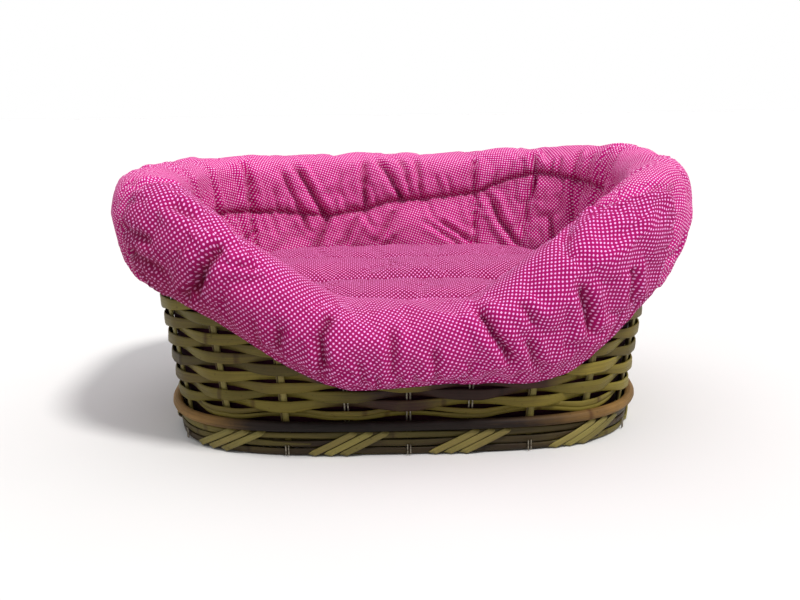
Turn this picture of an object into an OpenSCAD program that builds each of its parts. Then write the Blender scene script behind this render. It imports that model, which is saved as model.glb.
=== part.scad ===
// Wicker pet bed basket: a scooped oval cane basket with a padded liner that rolls over
// its rim, and a loose cushion. +X is to the right seen from the low front, -Y is the
// front, and the origin is the middle of the footprint, on the floor.

/* [Basket plan] */
// Width across the stakes at the waling cane
base_w = 504; // [440:4:560]
// Depth across the stakes at the waling cane
base_d = 368; // [320:4:420]
// Squareness of the oval: 2 is an ellipse, more is boxier
squareness = 3.5; // [2.6:0.1:4]
// Growth of the plan for each metre of height, as a share of its size
flare = 0.53; // [0.3:0.01:0.7]

/* [Rim] */
// Height of the rim at the back and sides
rim_back_z = 255; // [230:5:280]
// Height of the rim at the middle of the front
rim_front_z = 140; // [130:5:160]
// Angle from the middle of the front where the rim starts to rise
scoop_start = 14; // [10:1:24]
// Angle from the middle of the front where the rim is at its full height
scoop_end = 63; // [58:1:80]
// Diameter of each rim hoop
rim_hoop_d = 9; // [8:0.5:10]

/* [Weave] */
// Number of stakes and stays, spaced evenly round the wall
stake_count = 24; // [20:2:28]
// Width of a cane stake
stake_w = 8; // [6:0.5:10]
// Thickness of a cane stake
stake_t = 3; // [2.5:0.1:3.2]
// Diameter of a wire stay
wire_d = 1.8; // [1.4:0.1:2.4]
// Number of weaver rows
row_count = 20; // [16:1:20]
// Height from one weaver row to the next
row_pitch = 10; // [9.8:0.1:10]
// Height of a weaver strip
weaver_h = 9.4; // [8.8:0.1:9.6]
// Thickness of a weaver strip
weaver_t = 2; // [1.6:0.1:2.2]

/* [Foot] */
// Diameter of the waling cane
waling_d = 11; // [9:0.5:12]
// Height of one foot strip
foot_strip_h = 8.5; // [8:0.1:8.6]
// Thickness of a foot strip
foot_strip_t = 5; // [4:0.5:5.5]
// Width of a slanting foot wrap
wrap_w = 6; // [5:0.2:6.4]

/* [Liner and cushion] */
// Height of the padded roll above the rim at the back
roll_h_back = 35; // [28:1:40]
// Height of the padded roll above the rim at the front
roll_h_front = 27; // [22:1:34]
// How far the padded roll stands out from the stakes, inwards and at the back outwards
roll_half = 33; // [30:1:36]
// How far the hem hangs below the rim at the back and sides
hem_drop_back = 96; // [80:2:110]
// How far the hem hangs below the rim at the front
hem_drop_front = 63; // [50:1:66]
// Height of the cushion's crown above the floor
cushion_top_z = 160; // [140:1:162]

/* [Hidden] */
row_names = [for (i = [1:row_count]) str("weaver_", i < 10 ? "0" : "", i)];

cane = "#a89a52";
cane_dark = "#7d6235";
cane_pale = "#c9b878";
steel = "#9a968c";
pink = "#c41870";
pink_back = "#a5155f";
white_fill = "#f2efe8";

// Plan of the wall. An angle g is measured from the middle of the front, towards +X.
half_w = base_w / 2;
half_d = base_d / 2;
plan_ref_z = 32;
table_step = 2;

function grow(z) = 1 + flare * (z - plan_ref_z) / 1000;
function plan_r(g) = pow(pow(abs(sin(g)) / half_w, squareness)
                         + pow(abs(cos(g)) / half_d, squareness), -1 / squareness);
function signed_pow(v, e) = sign(v) * pow(abs(v), e);
function plan_gradient(g) =
    let (x = plan_r(g) * sin(g), y = -plan_r(g) * cos(g))
    [signed_pow(x / half_w, squareness - 1) / half_w,
     signed_pow(y / half_d, squareness - 1) / half_d];
function plan_normal(g) = plan_gradient(g) / norm(plan_gradient(g));
function plan_point(g) = plan_r(g) * [sin(g), -cos(g)];
// A point of the wall at angle g, with the plan's size taken at height z and moved out by off
function wall_point(g, z, off) = grow(z) * plan_point(g) + off * plan_normal(g);
function wall_point_3d(g, z_plan, off, z) =
    let (p = wall_point(g, z_plan, off)) [p[0], p[1], z];
function normal_angle(g) = let (v = plan_normal(g)) atan2(v[1], v[0]);

// Tables between the angle and the share of the way round, so that stakes are evenly spaced
arc_sums = [for (g = 0, s = 0; g <= 360;
                 s = s + norm(plan_point(g + table_step) - plan_point(g)), g = g + table_step) s];
plan_length = arc_sums[360 / table_step];
angle_table = [for (i = [0:360 / table_step]) [arc_sums[i] / plan_length, i * table_step]];
share_table = [for (row = angle_table) [row[1], row[0]]];
function angle_at(u) = lookup(u - floor(u), angle_table);
function share_at(g) = lookup(g, share_table);

// The rim's height
function smooth(t) = let (c = min(max(t, 0), 1)) c * c * (3 - 2 * c);
function inverse_smooth(y) = 0.5 - sin(asin(1 - 2 * y) / 3);
function from_front(g) = g <= 180 ? g : 360 - g;
function scoop(g) = smooth((from_front(g) - scoop_start) / (scoop_end - scoop_start));
function rim_z(g) = rim_front_z + (rim_back_z - rim_front_z) * scoop(g);
function blend(front, back, g) = front + (back - front) * scoop(g);

// Weave
wave_depth = 4;
wave_cross = 1.4;
row_first_z = 40;
// The strand of each row starts this many stakes on from the one below
splice_step = 7;
row_below_rim = 8;
wave_steps = [[0.14, 1], [0.38, wave_cross / wave_depth],
              [0.62, -wave_cross / wave_depth], [0.86, -1]];

// Foot
foot_gap = 0.5;
foot_inner_off = stake_t / 2 + 1.1;
foot_outer_off = foot_inner_off + foot_strip_t;
waling_z = 33;
waling_off = stake_t / 2 + 1 + waling_d / 2;
wrap_t = 1.8;
wrap_len = 46;
wrap_slant = 26;
wrap_spacing = 16;
wrap_z = 13.4;
wrap_gap = 1.2;
wrap_stakes = [for (i = [1:2:stake_count - 1]) i];
tie_wire_d = 1.2;
tie_z = 1.5;
tie_h = 11;
tie_spacing = 3;
tie_gap = 2.2;
tie_stakes = [for (i = [0:2:stake_count - 1]) i];

// Stakes
stake_foot_z = 6;
stake_above_rim = 3;
stay_spacing = 3.6;
middle_stays = [stake_count - 1, 0, 1];
stay_stakes = concat(middle_stays, [for (i = middle_stays) (i + stake_count / 2) % stake_count]);
cane_stake_list = [for (i = [0:stake_count - 1]) if (len(search(i, stay_stakes)) == 0) i];

// Base
hoop_inner_off = -6.6;
hoop_outer_off = -2.6;
hoop_z = 6;
hoop_h = 11;
runner_w = 16;
runner_t = 3.6;
runner_z = 7;
runner_pitch = 84;
runner_side_count = 2;
slat_w = 12;
slat_t = 2.4;
slat_z = runner_z + runner_t;
slat_pitch = 16;
slat_side_count = 9;
mat_inset = 7.4;

// Rim
rim_hoop_off = 6.8;
hoop_sections = 96;
hoop_sides = 6;
lashing_gap = 0.8;
lashing_t = 1.2;
lashing_w = 4;
lashing_step = 0.004;

// Liner and cushion
soft_sections = 64;
liner_bottom_z = 21;
pocket_half = 17;
pocket_top = 11;
leaf_wall_off = -12;
leaf_face_off = -31;
lip_depth = 14;
// The front roll stands out further, so that the front and back reach equally far
roll_out_front = roll_half + half_d * (grow(rim_back_z) - grow(rim_front_z));
layer_gap = 0.02;
backing_share = 0.06;
face_share = 0.94;
skirt_gap = 1.2;
skirt_low_share = 0.36;
hem_inner_off = 7.6;
hem_outer_off = 13.5;
elastic_inner_off = 6.4;
elastic_t = 0.9;
elastic_h = 8;
floor_cloth_z = 18;
floor_cloth_t = 2.4;
floor_cloth_off = -8;
cushion_off = -34;
cushion_z = 21;
cushion_side_z = 126;
cover_t = 1.6;
cover_gap = 0.3;
fill_gap = 0.5;
dome_rings = 5;
dome_reach = 0.85;
dome_crowding = 1.6;

function rim_at(u) = rim_z(angle_at(u));

// A flat closed ring of the wall's plan between two offsets
module plan_band(z, inner_off, outer_off, sections) {
    difference() {
        polygon([for (i = [0:sections - 1]) wall_point(angle_at(i / sections), z, outer_off)]);
        polygon([for (i = [0:sections - 1]) wall_point(angle_at(i / sections), z, inner_off)]);
    }
}

module plan_disc(z, off, sections) {
    polygon([for (i = [0:sections - 1]) wall_point(angle_at(i / sections), z, off)]);
}

// Puts its children on the wall at stake number i: X outwards, Y along the wall, Z up
module on_wall(i, z, off) {
    g = angle_at(i / stake_count);
    p = wall_point(g, z, off);
    translate([p[0], p[1], z]) rotate([0, 0, normal_angle(g)]) children();
}

// The same, with Z leaning the way the wall does
module along_wall(i, z, off) {
    g = angle_at(i / stake_count);
    lean = plan_r(g) * flare / 1000;
    turn = atan2(-cos(g), sin(g)) - normal_angle(g);
    on_wall(i, z, off)
        rotate([-atan(lean * sin(turn)), atan(lean * cos(turn)), 0]) children();
}

// A closed band whose cross-section is a list of [z the plan is taken at, offset, z] points.
// The first few sides are split on the other diagonal, so that two layers' faces can match.
module ring_solid(sections, profiles, turned = 0) {
    m = len(profiles[0]);
    points = [for (i = [0:sections - 1]) for (q = profiles[i])
              wall_point_3d(angle_at(i / sections), q[0], q[1], q[2])];
    faces = [for (i = [0:sections - 1]) for (j = [0:m - 1])
             let (i2 = (i + 1) % sections, j2 = (j + 1) % m,
                  a = i * m + j, b = i * m + j2, c = i2 * m + j2, d = i2 * m + j)
             for (f = j < turned ? [[a, b, d], [b, c, d]] : [[a, b, c], [a, c, d]]) f];
    polyhedron(points, faces);
}

// A weaver row runs all the way round, or between the two sides of the scoop
function row_z(i) = row_first_z + (i - 1) * row_pitch;
function row_scoop(i) = (row_z(i) + weaver_h + row_below_rim - rim_front_z)
                        / (rim_back_z - rim_front_z);
function row_from(i) = row_scoop(i) <= 0 ? 0
    : share_at(scoop_start + inverse_smooth(row_scoop(i)) * (scoop_end - scoop_start));
function row_shares(i) =
    let (all = [for (s = [0:stake_count - 1]) for (w = wave_steps)
                [(s + w[0]) / stake_count, (s + i) % 2 == 0 ? w[1] : -w[1]]])
    row_from(i) > 0
        ? [for (v = all) if (v[0] >= row_from(i) && v[0] <= 1 - row_from(i)) v]
        : let (first = (splice_step * i % stake_count) * len(wave_steps), n = len(all))
          [for (j = [0:n - 1]) all[(first + j) % n]];

module weaver(i) {
    z = row_z(i) + weaver_h / 2;
    shares = row_shares(i);
    n = len(shares);
    outer = [for (v = shares)
             wall_point(angle_at(v[0]), z, v[1] * wave_depth + weaver_t / 2)];
    inner = [for (j = [n - 1:-1:0])
             wall_point(angle_at(shares[j][0]), z, shares[j][1] * wave_depth - weaver_t / 2)];
    color(i % 3 == 0 ? cane_dark : cane)
        translate([0, 0, row_z(i)]) linear_extrude(weaver_h) polygon(concat(outer, inner));
}

module cane_stakes() {
    color(cane_pale) for (i = cane_stake_list) {
        g = angle_at(i / stake_count);
        lean = plan_r(g) * flare / 1000;
        rise = (rim_z(g) + stake_above_rim - stake_foot_z) * sqrt(1 + lean * lean);
        along_wall(i, stake_foot_z, 0)
            translate([-stake_t / 2, -stake_w / 2, 0]) cube([stake_t, stake_w, rise]);
    }
}

module wire_stays() {
    color(steel) for (i = stay_stakes) {
        rise = rim_at(i / stake_count) + stake_above_rim - stake_foot_z;
        for (side = [-1, 1]) along_wall(i, stake_foot_z, 0)
            translate([0, side * stay_spacing / 2, 0]) cylinder(d = wire_d, h = rise, $fn = 24);
    }
}

// A round cane or hoop swept along the wall at height z_of, given as a list
module swept_hoop(heights, off, d, sides) {
    sections = len(heights);
    ring_solid(sections, [for (i = [0:sections - 1]) [for (a = [0:sides - 1])
        let (z = heights[i], t = 360 * a / sides)
        [z, off + d / 2 * cos(t), z + d / 2 * sin(t)]]]);
}

module waling_cane() {
    color(cane_dark)
        swept_hoop([for (i = [0:hoop_sections - 1]) waling_z], waling_off, waling_d, 8);
}

module foot_strip(level) {
    z = level * (foot_strip_h + foot_gap);
    color(level == 1 ? cane_dark : cane) translate([0, 0, z])
        linear_extrude(foot_strip_h)
            plan_band(z + foot_strip_h / 2, foot_inner_off, foot_outer_off, hoop_sections);
}

module foot_wraps() {
    color(cane_pale) for (i = wrap_stakes) for (side = [-1, 0, 1])
        on_wall(i + side * wrap_spacing * stake_count / plan_length, wrap_z,
                foot_outer_off + wrap_gap)
            rotate([wrap_slant, 0, 0])
                translate([0, -wrap_len / 2, -wrap_w / 2]) cube([wrap_t, wrap_len, wrap_w]);
}

module wire_ties() {
    color(steel) for (i = tie_stakes) for (side = [-1, 1])
        on_wall(i, tie_z, foot_outer_off + tie_gap + tie_wire_d / 2)
            translate([0, side * tie_spacing / 2, 0]) cylinder(d = tie_wire_d, h = tie_h, $fn = 16);
}

module base_hoop() {
    color(cane_dark) translate([0, 0, hoop_z]) linear_extrude(hoop_h)
        plan_band(hoop_z + hoop_h / 2, hoop_inner_off, hoop_outer_off, hoop_sections);
}

// Half the length of a straight strip laid across the base at distance d from its middle
function half_chord(d, half_across, half_along) =
    let (a = half_across * grow(hoop_z) - mat_inset, b = half_along * grow(hoop_z) - mat_inset)
    b * pow(1 - pow(d / a, squareness), 1 / squareness);

module base_runners() {
    color(cane) for (i = [-runner_side_count:runner_side_count]) {
        x = i * runner_pitch;
        half = half_chord(abs(x) + runner_w / 2, half_w, half_d);
        translate([x - runner_w / 2, -half, runner_z]) cube([runner_w, 2 * half, runner_t]);
    }
}

module base_slats() {
    color(cane_pale) for (i = [-slat_side_count:slat_side_count]) {
        y = i * slat_pitch;
        half = half_chord(abs(y) + slat_w / 2, half_d, half_w);
        translate([-half, y - slat_w / 2, slat_z]) cube([2 * half, slat_w, slat_t]);
    }
}

module rim_hoop(side) {
    color(cane_dark) swept_hoop([for (i = [0:hoop_sections - 1]) rim_at(i / hoop_sections)],
                                side * rim_hoop_off, rim_hoop_d, hoop_sides);
}

// Loops of split cane round both rim hoops, midway between the stakes
module rim_lashing() {
    half_in = rim_hoop_off + rim_hoop_d / 2 + lashing_gap;
    high_in = rim_hoop_d / 2 + lashing_gap;
    half_out = half_in + lashing_t;
    high_out = high_in + lashing_t;
    color(cane_pale) for (i = [0:stake_count - 1]) {
        u = (i + 0.5) / stake_count;
        climb = (rim_at(u + lashing_step) - rim_at(u - lashing_step))
                / (2 * lashing_step * plan_length);
        on_wall(i + 0.5, rim_at(u), 0) rotate([atan(climb), 0, 0]) difference() {
            translate([-half_out, -lashing_w / 2, -high_out])
                cube([2 * half_out, lashing_w, 2 * high_out]);
            translate([-half_in, -lashing_w, -high_in])
                cube([2 * half_in, 2 * lashing_w, 2 * high_in]);
        }
    }
}

// The liner's section at angle g, from the basket side (t = 0) to the cloth's face (t = 1)
function pocket_line(g) = let (r = rim_z(g)) [
    [liner_bottom_z, leaf_wall_off, liner_bottom_z],
    [r - 26, leaf_wall_off, r - 26],
    [r - 13, -pocket_half, r - 13],
    [r, -pocket_half, r + 7],
    [r, -pocket_half / 2, r + pocket_top],
    [r, pocket_half / 2, r + pocket_top],
    [r, pocket_half, r + 7],
    [r, pocket_half, r - lip_depth]];
function face_line(g) =
    let (r = rim_z(g), h = blend(roll_h_front, roll_h_back, g),
         w = blend(roll_out_front, roll_half, g)) [
    [liner_bottom_z, leaf_face_off, liner_bottom_z],
    [r - 26, leaf_face_off - 1, r - 26],
    [r - 13, -roll_half, r - 13],
    [r, -roll_half * 0.94, r + h * 0.5],
    [r, -roll_half * 0.45, r + h],
    [r, w * 0.35, r + h],
    [r, w * 0.9, r + h * 0.55],
    [r, w, r - lip_depth]];
function liner_line(g, t) =
    let (p = pocket_line(g), q = face_line(g)) [for (j = [0:len(p) - 1]) p[j] + t * (q[j] - p[j])];
function reversed(list) = [for (j = [len(list) - 1:-1:0]) list[j]];

module liner_layer(from, to) {
    ring_solid(soft_sections, [for (i = [0:soft_sections - 1])
        let (g = angle_at(i / soft_sections))
        concat(reversed(liner_line(g, to)), liner_line(g, from))], len(pocket_line(0)) - 1);
}

module liner_face() {
    color(pink) liner_layer(face_share, 1);
}

module liner_wadding() {
    color(white_fill) liner_layer(backing_share + layer_gap, face_share - layer_gap);
}

module liner_backing() {
    color(pink_back) liner_layer(0, backing_share);
}

module liner_floor() {
    color(pink_back) translate([0, 0, floor_cloth_z]) linear_extrude(floor_cloth_t)
        plan_disc(floor_cloth_z, floor_cloth_off, soft_sections);
}

function hem_z(g) = rim_z(g) - blend(hem_drop_front, hem_drop_back, g);

module liner_skirt() {
    color(pink) ring_solid(soft_sections, [for (i = [0:soft_sections - 1])
        let (g = angle_at(i / soft_sections), r = rim_z(g), hem = hem_z(g),
             w = blend(roll_out_front, roll_half, g), top = r - lip_depth - skirt_gap,
             low = hem + skirt_low_share * (top - hem), high = (low + top) / 2)
        [[hem, hem_outer_off, hem], [low, w * 0.92, low], [r, w, high], [r, w, top],
         [r, pocket_half, top], [low, hem_inner_off + 3, low], [hem, hem_inner_off, hem]]]);
}

module hem_elastic() {
    color(white_fill) ring_solid(soft_sections, [for (i = [0:soft_sections - 1])
        let (z = hem_z(angle_at(i / soft_sections)) + 1)
        [[z, elastic_inner_off + elastic_t, z], [z, elastic_inner_off + elastic_t, z + elastic_h],
         [z, elastic_inner_off, z + elastic_h], [z, elastic_inner_off, z]]]);
}

// The cushion: a share s of 0 is the edge of its crown and 1 the middle
function crown_z(s, top) = cushion_side_z + (top - cushion_side_z) * sqrt(1 - pow(1 - s, 3));
function crown_ring(s, inset, top) =
    [for (i = [0:soft_sections - 1])
        let (p = (1 - s) * wall_point(angle_at(i / soft_sections), cushion_z, cushion_off - inset))
        [p[0], p[1], crown_z(s, top)]];
function side_ring(z, inset) =
    [for (i = [0:soft_sections - 1])
        wall_point_3d(angle_at(i / soft_sections), cushion_z, cushion_off - inset, z)];
crown_shares = [for (j = [0:dome_rings - 1]) dome_reach * pow(j / (dome_rings - 1), dome_crowding)];

// A skin over a stack of rings: side faces between them and a fan at each end
module ring_stack(rings) {
    n = len(rings[0]);
    m = len(rings);
    points = [for (ring = rings) for (p = ring) p];
    sides = [for (j = [0:m - 2]) for (i = [0:n - 1])
             let (i2 = (i + 1) % n, a = j * n + i, b = j * n + i2)
             for (f = [[a, a + n, b + n], [a, b + n, b]]) f];
    polyhedron(points, concat(sides, [[for (i = [0:n - 1]) i]],
                              [[for (i = [n - 1:-1:0]) (m - 1) * n + i]]));
}

module cushion_top_cover() {
    floor_z = cushion_z + cover_t + cover_gap;
    outer = concat([side_ring(floor_z, 0)],
                   [for (s = crown_shares) crown_ring(s, 0, cushion_top_z)]);
    inner = concat([side_ring(floor_z, cover_t)],
                   [for (s = crown_shares) crown_ring(s, cover_t, cushion_top_z - cover_t)]);
    n = soft_sections;
    m = len(outer);
    points = [for (ring = concat(outer, inner)) for (p = ring) p];
    outside = [for (j = [0:m - 2]) for (i = [0:n - 1])
               let (i2 = (i + 1) % n, a = j * n + i, b = j * n + i2)
               for (f = [[a, a + n, b + n], [a, b + n, b]]) f];
    inside = [for (f = outside) [f[2] + m * n, f[1] + m * n, f[0] + m * n]];
    lip = [for (i = [0:n - 1]) let (i2 = (i + 1) % n)
           for (f = [[i, i2, m * n + i2], [i, m * n + i2, m * n + i]]) f];
    caps = [[for (i = [n - 1:-1:0]) (m - 1) * n + i], [for (i = [0:n - 1]) (2 * m - 1) * n + i]];
    color(pink) polyhedron(points, concat(outside, inside, lip, caps));
}

module cushion_filling() {
    fill_in = cover_t + fill_gap;
    color(white_fill) ring_stack(concat(
        [side_ring(cushion_z + fill_in, fill_in)],
        [for (s = crown_shares) crown_ring(s, fill_in, cushion_top_z - fill_in)]));
}

module cushion_base_cover() {
    color(pink) translate([0, 0, cushion_z]) linear_extrude(cover_t)
        plan_disc(cushion_z, cushion_off, soft_sections);
}

for (i = [1:row_count])
    weaver(i);
cane_stakes();
wire_stays();
waling_cane();
foot_strip(0);  // foot_strip_low
foot_strip(1);  // foot_strip_mid
foot_strip(2);  // foot_strip_top
foot_wraps();
wire_ties();
base_hoop();
base_runners();
base_slats();
rim_hoop(1);  // rim_hoop_outer
rim_hoop(-1);  // rim_hoop_inner
rim_lashing();
liner_face();
liner_wadding();
liner_backing();
liner_floor();
liner_skirt();
hem_elastic();
cushion_top_cover();
cushion_filling();
cushion_base_cover();
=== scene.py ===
import math

import bpy
import numpy as np
from mathutils import Matrix, Vector, noise


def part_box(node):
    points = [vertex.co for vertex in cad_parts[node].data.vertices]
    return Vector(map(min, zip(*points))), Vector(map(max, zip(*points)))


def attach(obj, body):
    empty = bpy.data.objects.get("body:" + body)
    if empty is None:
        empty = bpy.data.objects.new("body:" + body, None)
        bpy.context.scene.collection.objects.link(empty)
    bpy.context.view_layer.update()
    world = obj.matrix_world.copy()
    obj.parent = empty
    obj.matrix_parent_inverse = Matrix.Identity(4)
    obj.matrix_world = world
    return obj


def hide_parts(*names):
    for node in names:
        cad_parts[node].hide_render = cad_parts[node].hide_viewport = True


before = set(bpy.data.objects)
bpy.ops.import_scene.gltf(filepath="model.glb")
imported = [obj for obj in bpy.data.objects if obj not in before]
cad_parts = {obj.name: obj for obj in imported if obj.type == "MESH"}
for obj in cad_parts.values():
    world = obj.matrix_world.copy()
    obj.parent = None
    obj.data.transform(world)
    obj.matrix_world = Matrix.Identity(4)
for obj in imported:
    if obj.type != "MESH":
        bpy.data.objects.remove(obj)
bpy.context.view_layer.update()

# ---------------------------------------------------------------- sizes, in millimetres
# The CAD boxes give the plan and the heights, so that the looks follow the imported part.
MM = 0.001


def box_mm(node):
    lo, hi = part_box(node)
    return np.array(lo) / MM, np.array(hi) / MM


FLARE = 0.53
PLAN_Z = 32.0
SQUARENESS = 3.5
WALING_D = 11.0
WALING_Z = 33.0
WALING_OFF = 8.0
waling_lo, waling_hi = box_mm("waling_cane")
rim_lo, rim_hi = box_mm("rim_hoop_outer")
HALF_W = (waling_hi[0] - waling_lo[0]) / 2 - WALING_OFF - WALING_D / 2
HALF_D = (waling_hi[1] - waling_lo[1]) / 2 - WALING_OFF - WALING_D / 2
RIM_HOOP_D = 9.0
RIM_HOOP_OFF = 6.8
RIM_BACK = rim_hi[2] - RIM_HOOP_D / 2 * math.sin(math.radians(60))
RIM_FRONT = rim_lo[2] + RIM_HOOP_D / 2 * math.sin(math.radians(60))
SCOOP_START, SCOOP_END = 14.0, 63.0
STAKES = 24
ROWS = 20
ROW_FIRST_Z = 40.0
ROW_PITCH = 10.0
ROW_H = 9.4
ROW_BELOW_RIM = 8.0
SPLICE_STEP = 7
STAYS = (23, 0, 1, 11, 12, 13)
LINER_BOTTOM = 21.0
CUSHION_OFF = -37.0
CUSHION_Z = 21.0
CUSHION_SIDE = 122.0
CUSHION_CROWN = 172.0
SWELL_MOST, CUSHION_SWELL_MOST = 8.0, 6.0


def unit(v):
    return v / np.maximum(np.linalg.norm(v, axis=-1, keepdims=True), 1e-9)


def grow(z):
    """How much wider the plan is at height z than at PLAN_Z."""
    return 1 + FLARE * (z - PLAN_Z) / 1000


def plan(g):
    """Plan points and outward normals at angles g (degrees from the middle of the front, towards +X)."""
    a = np.radians(g)
    s, c = np.sin(a), np.cos(a)
    n = SQUARENESS
    r = ((np.abs(s) / HALF_W) ** n + (np.abs(c) / HALF_D) ** n) ** (-1 / n)
    p = np.stack([r * s, -r * c], -1)
    q = np.sign(p) * np.abs(p / [HALF_W, HALF_D]) ** (n - 1) / [HALF_W, HALF_D]
    return p, unit(q)


TURN = np.linspace(0, 360, 721)
ARC = np.concatenate([[0], np.cumsum(np.linalg.norm(np.diff(plan(TURN)[0], axis=0), axis=1))])
PLAN_LENGTH = ARC[-1]


def angle_at(u):
    """Angle round the plan, in degrees, at a share u of the way round."""
    return np.interp(np.mod(u, 1), ARC / PLAN_LENGTH, TURN)


def share_at(g):
    return np.interp(g, TURN, ARC / PLAN_LENGTH)


def smooth(t):
    t = np.clip(t, 0, 1)
    return t * t * (3 - 2 * t)


def bell(x, width):
    """1 where x is 0, falling off on both sides of it."""
    return np.exp(-(x / width) ** 2)


def faded(t, sharp, least=0.0):
    """1 along a strand or a fold, with t from 0 to 1, falling off at both its ends."""
    return smooth(t * sharp + least) * smooth((1 - t) * sharp + least)


def lapped(t, sharp):
    """How a strand's ends ride over each other: -1 at its start, 1 at its end, 0 between."""
    return smooth(1 - (1 - t) * sharp) - smooth(1 - t * sharp)


def from_front(u):
    """Share of the way round from the middle of the front: above 0 on the right, below it on the left."""
    return (u + 0.5) % 1 - 0.5


def scoop(g):
    """0 at the low front of the rim, 1 at its sides and back."""
    g = np.mod(g, 360)
    return smooth((np.minimum(g, 360 - g) - SCOOP_START) / (SCOOP_END - SCOOP_START))


def rim_z(g):
    return RIM_FRONT + (RIM_BACK - RIM_FRONT) * scoop(g)


def wall(g, z_plan, off, z=None):
    """Points in the wall's own frame: plan taken at height z_plan, moved out by off."""
    p, n = plan(g)
    z_plan, off = np.asarray(z_plan, float), np.asarray(off, float)
    xy = grow(z_plan)[..., None] * p + off[..., None] * n
    z = z_plan if z is None else z
    return np.concatenate([xy, np.broadcast_to(np.asarray(z, float), xy.shape[:-1])[..., None]], -1)


def waves(u, seed, turns):
    """Smooth seeded wobble round the basket, periodic in u, about -1 to 1."""
    rng = np.random.default_rng(seed)
    out = np.zeros_like(np.asarray(u, float))
    total = 0.0
    for _ in range(5):
        k = rng.integers(max(1, turns // 2), turns + 1)
        a = rng.uniform(0.5, 1)
        out += a * np.sin(2 * np.pi * (k * u + rng.uniform()))
        total += a
    return out / total * 1.6


# ---------------------------------------------------------------- mesh building
def add_mesh(name, mesh):
    """A smooth-shaded object in the scene, from its mesh."""
    mesh.polygons.foreach_set("use_smooth", [True] * len(mesh.polygons))
    mesh.update()
    return linked(name, mesh)


def linked(name, data):
    o = bpy.data.objects.new(name, data)
    bpy.context.scene.collection.objects.link(o)
    return o


class Build:
    """Collects swept strips into one mesh, with strip UVs in metres and a cane attribute."""

    def __init__(self):
        self.v, self.f, self.uv, self.a, self.n = [], [], [], [], 0

    def sweep(self, rings, closed=False, marks=None):
        n, k, _ = rings.shape
        mid = rings.mean(1)
        step = np.linalg.norm(np.roll(mid, -1, 0) - mid, axis=1)
        s = np.concatenate([[0], np.cumsum(step)])
        around = np.linalg.norm(np.roll(rings[n // 2], -1, 0) - rings[n // 2], axis=1)
        v = np.concatenate([[0], np.cumsum(around)])
        m = n if closed else n - 1
        i = np.arange(m)[:, None]
        j = np.arange(k)[None, :]
        i2, j2 = (i + 1) % n, (j + 1) % k
        f = np.stack([i * k + j, i * k + j2, i2 * k + j2, i2 * k + j], -1).reshape(-1, 4)
        uv = np.stack([np.stack(np.broadcast_arrays(s[i], v[j]), -1),
                       np.stack(np.broadcast_arrays(s[i], v[j + 1]), -1),
                       np.stack(np.broadcast_arrays(s[i + 1], v[j + 1]), -1),
                       np.stack(np.broadcast_arrays(s[i + 1], v[j]), -1)], 2).reshape(-1, 4, 2)
        q = rings.reshape(-1, 3)
        ring = q[f[n // 2 * k:n // 2 * k + k]]
        facing = np.cross(ring[:, 2] - ring[:, 0], ring[:, 3] - ring[:, 1])
        flip = np.einsum("ij,ij->i", ring.mean(1) - mid[n // 2], facing).sum() < 0
        faces = list((f[:, ::-1] if flip else f) + self.n)
        uvs = list(uv[:, ::-1] if flip else uv)
        if not closed:
            for end in (0, n - 1):
                cap = np.arange(k) + end * k + self.n
                if (end == 0) != flip:
                    cap = cap[::-1]
                faces.append(cap)
                uvs.append(np.stack([np.full(k, s[end]), v[:k]], -1))
        self.v.append(q)
        self.f += faces
        self.uv += uvs
        self.a.append(np.repeat(np.zeros((n, 3)) if marks is None else marks, k, axis=0))
        self.n += n * k
        return self

    def object(self, name, material):
        mesh = bpy.data.meshes.new(name)
        mesh.from_pydata((np.concatenate(self.v) * MM).tolist(), [], [list(map(int, x)) for x in self.f])
        layer = mesh.uv_layers.new(name="strip")
        layer.data.foreach_set("uv", (np.concatenate(self.uv) * MM).ravel().astype(np.float32))
        marks = mesh.attributes.new("cane", "FLOAT_COLOR", "POINT")
        a = np.concatenate(self.a)
        a = np.concatenate([a, np.ones((len(a), 1))], 1)
        marks.data.foreach_set("color", a.ravel().astype(np.float32))
        mesh.materials.append(material)
        return add_mesh(name, mesh)


# The section of a split cane: flat inside, gently rounded outside
STRIP = np.array([(-0.5, 0.0), (-0.47, 0.4), (-0.36, 0.6), (0.0, 0.7), (0.36, 0.6), (0.47, 0.4),
                  (0.5, 0.0), (0.43, -0.42), (-0.43, -0.42)])


def circle(n):
    t = np.linspace(0, 2 * np.pi, n, endpoint=False)
    return np.stack([np.sin(t) / 2, np.cos(t) / 2], -1)


def rings_of(mid, across, out, section=STRIP):
    """Rings of a section round the points mid: across and out point along its two sides, with its sizes."""
    return mid[:, None] + section[None, :, :1] * across[:, None] + section[None, :, 1:] * out[:, None]


def along_wall(u, z, off, high, thick, section=STRIP, tilt=0.0):
    """Rings of a strip that runs round the wall: high and thick are its sizes, off its middle."""
    g = angle_at(u)
    p, n2 = plan(g)
    lean = np.einsum("ij,ij->i", p, n2) * FLARE / 1000
    up = unit(np.concatenate([n2 * lean[:, None], np.ones((len(u), 1))], 1))
    out = unit(np.concatenate([n2, -lean[:, None]], 1))
    a = np.radians(np.broadcast_to(tilt, (len(u),)))[:, None]
    up, out = up * np.cos(a) + out * np.sin(a), out * np.cos(a) - up * np.sin(a)
    high, thick = (np.broadcast_to(x, (len(u),))[:, None] for x in (high, thick))
    return rings_of(wall(g, z, off), up * high, out * thick, section)


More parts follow.
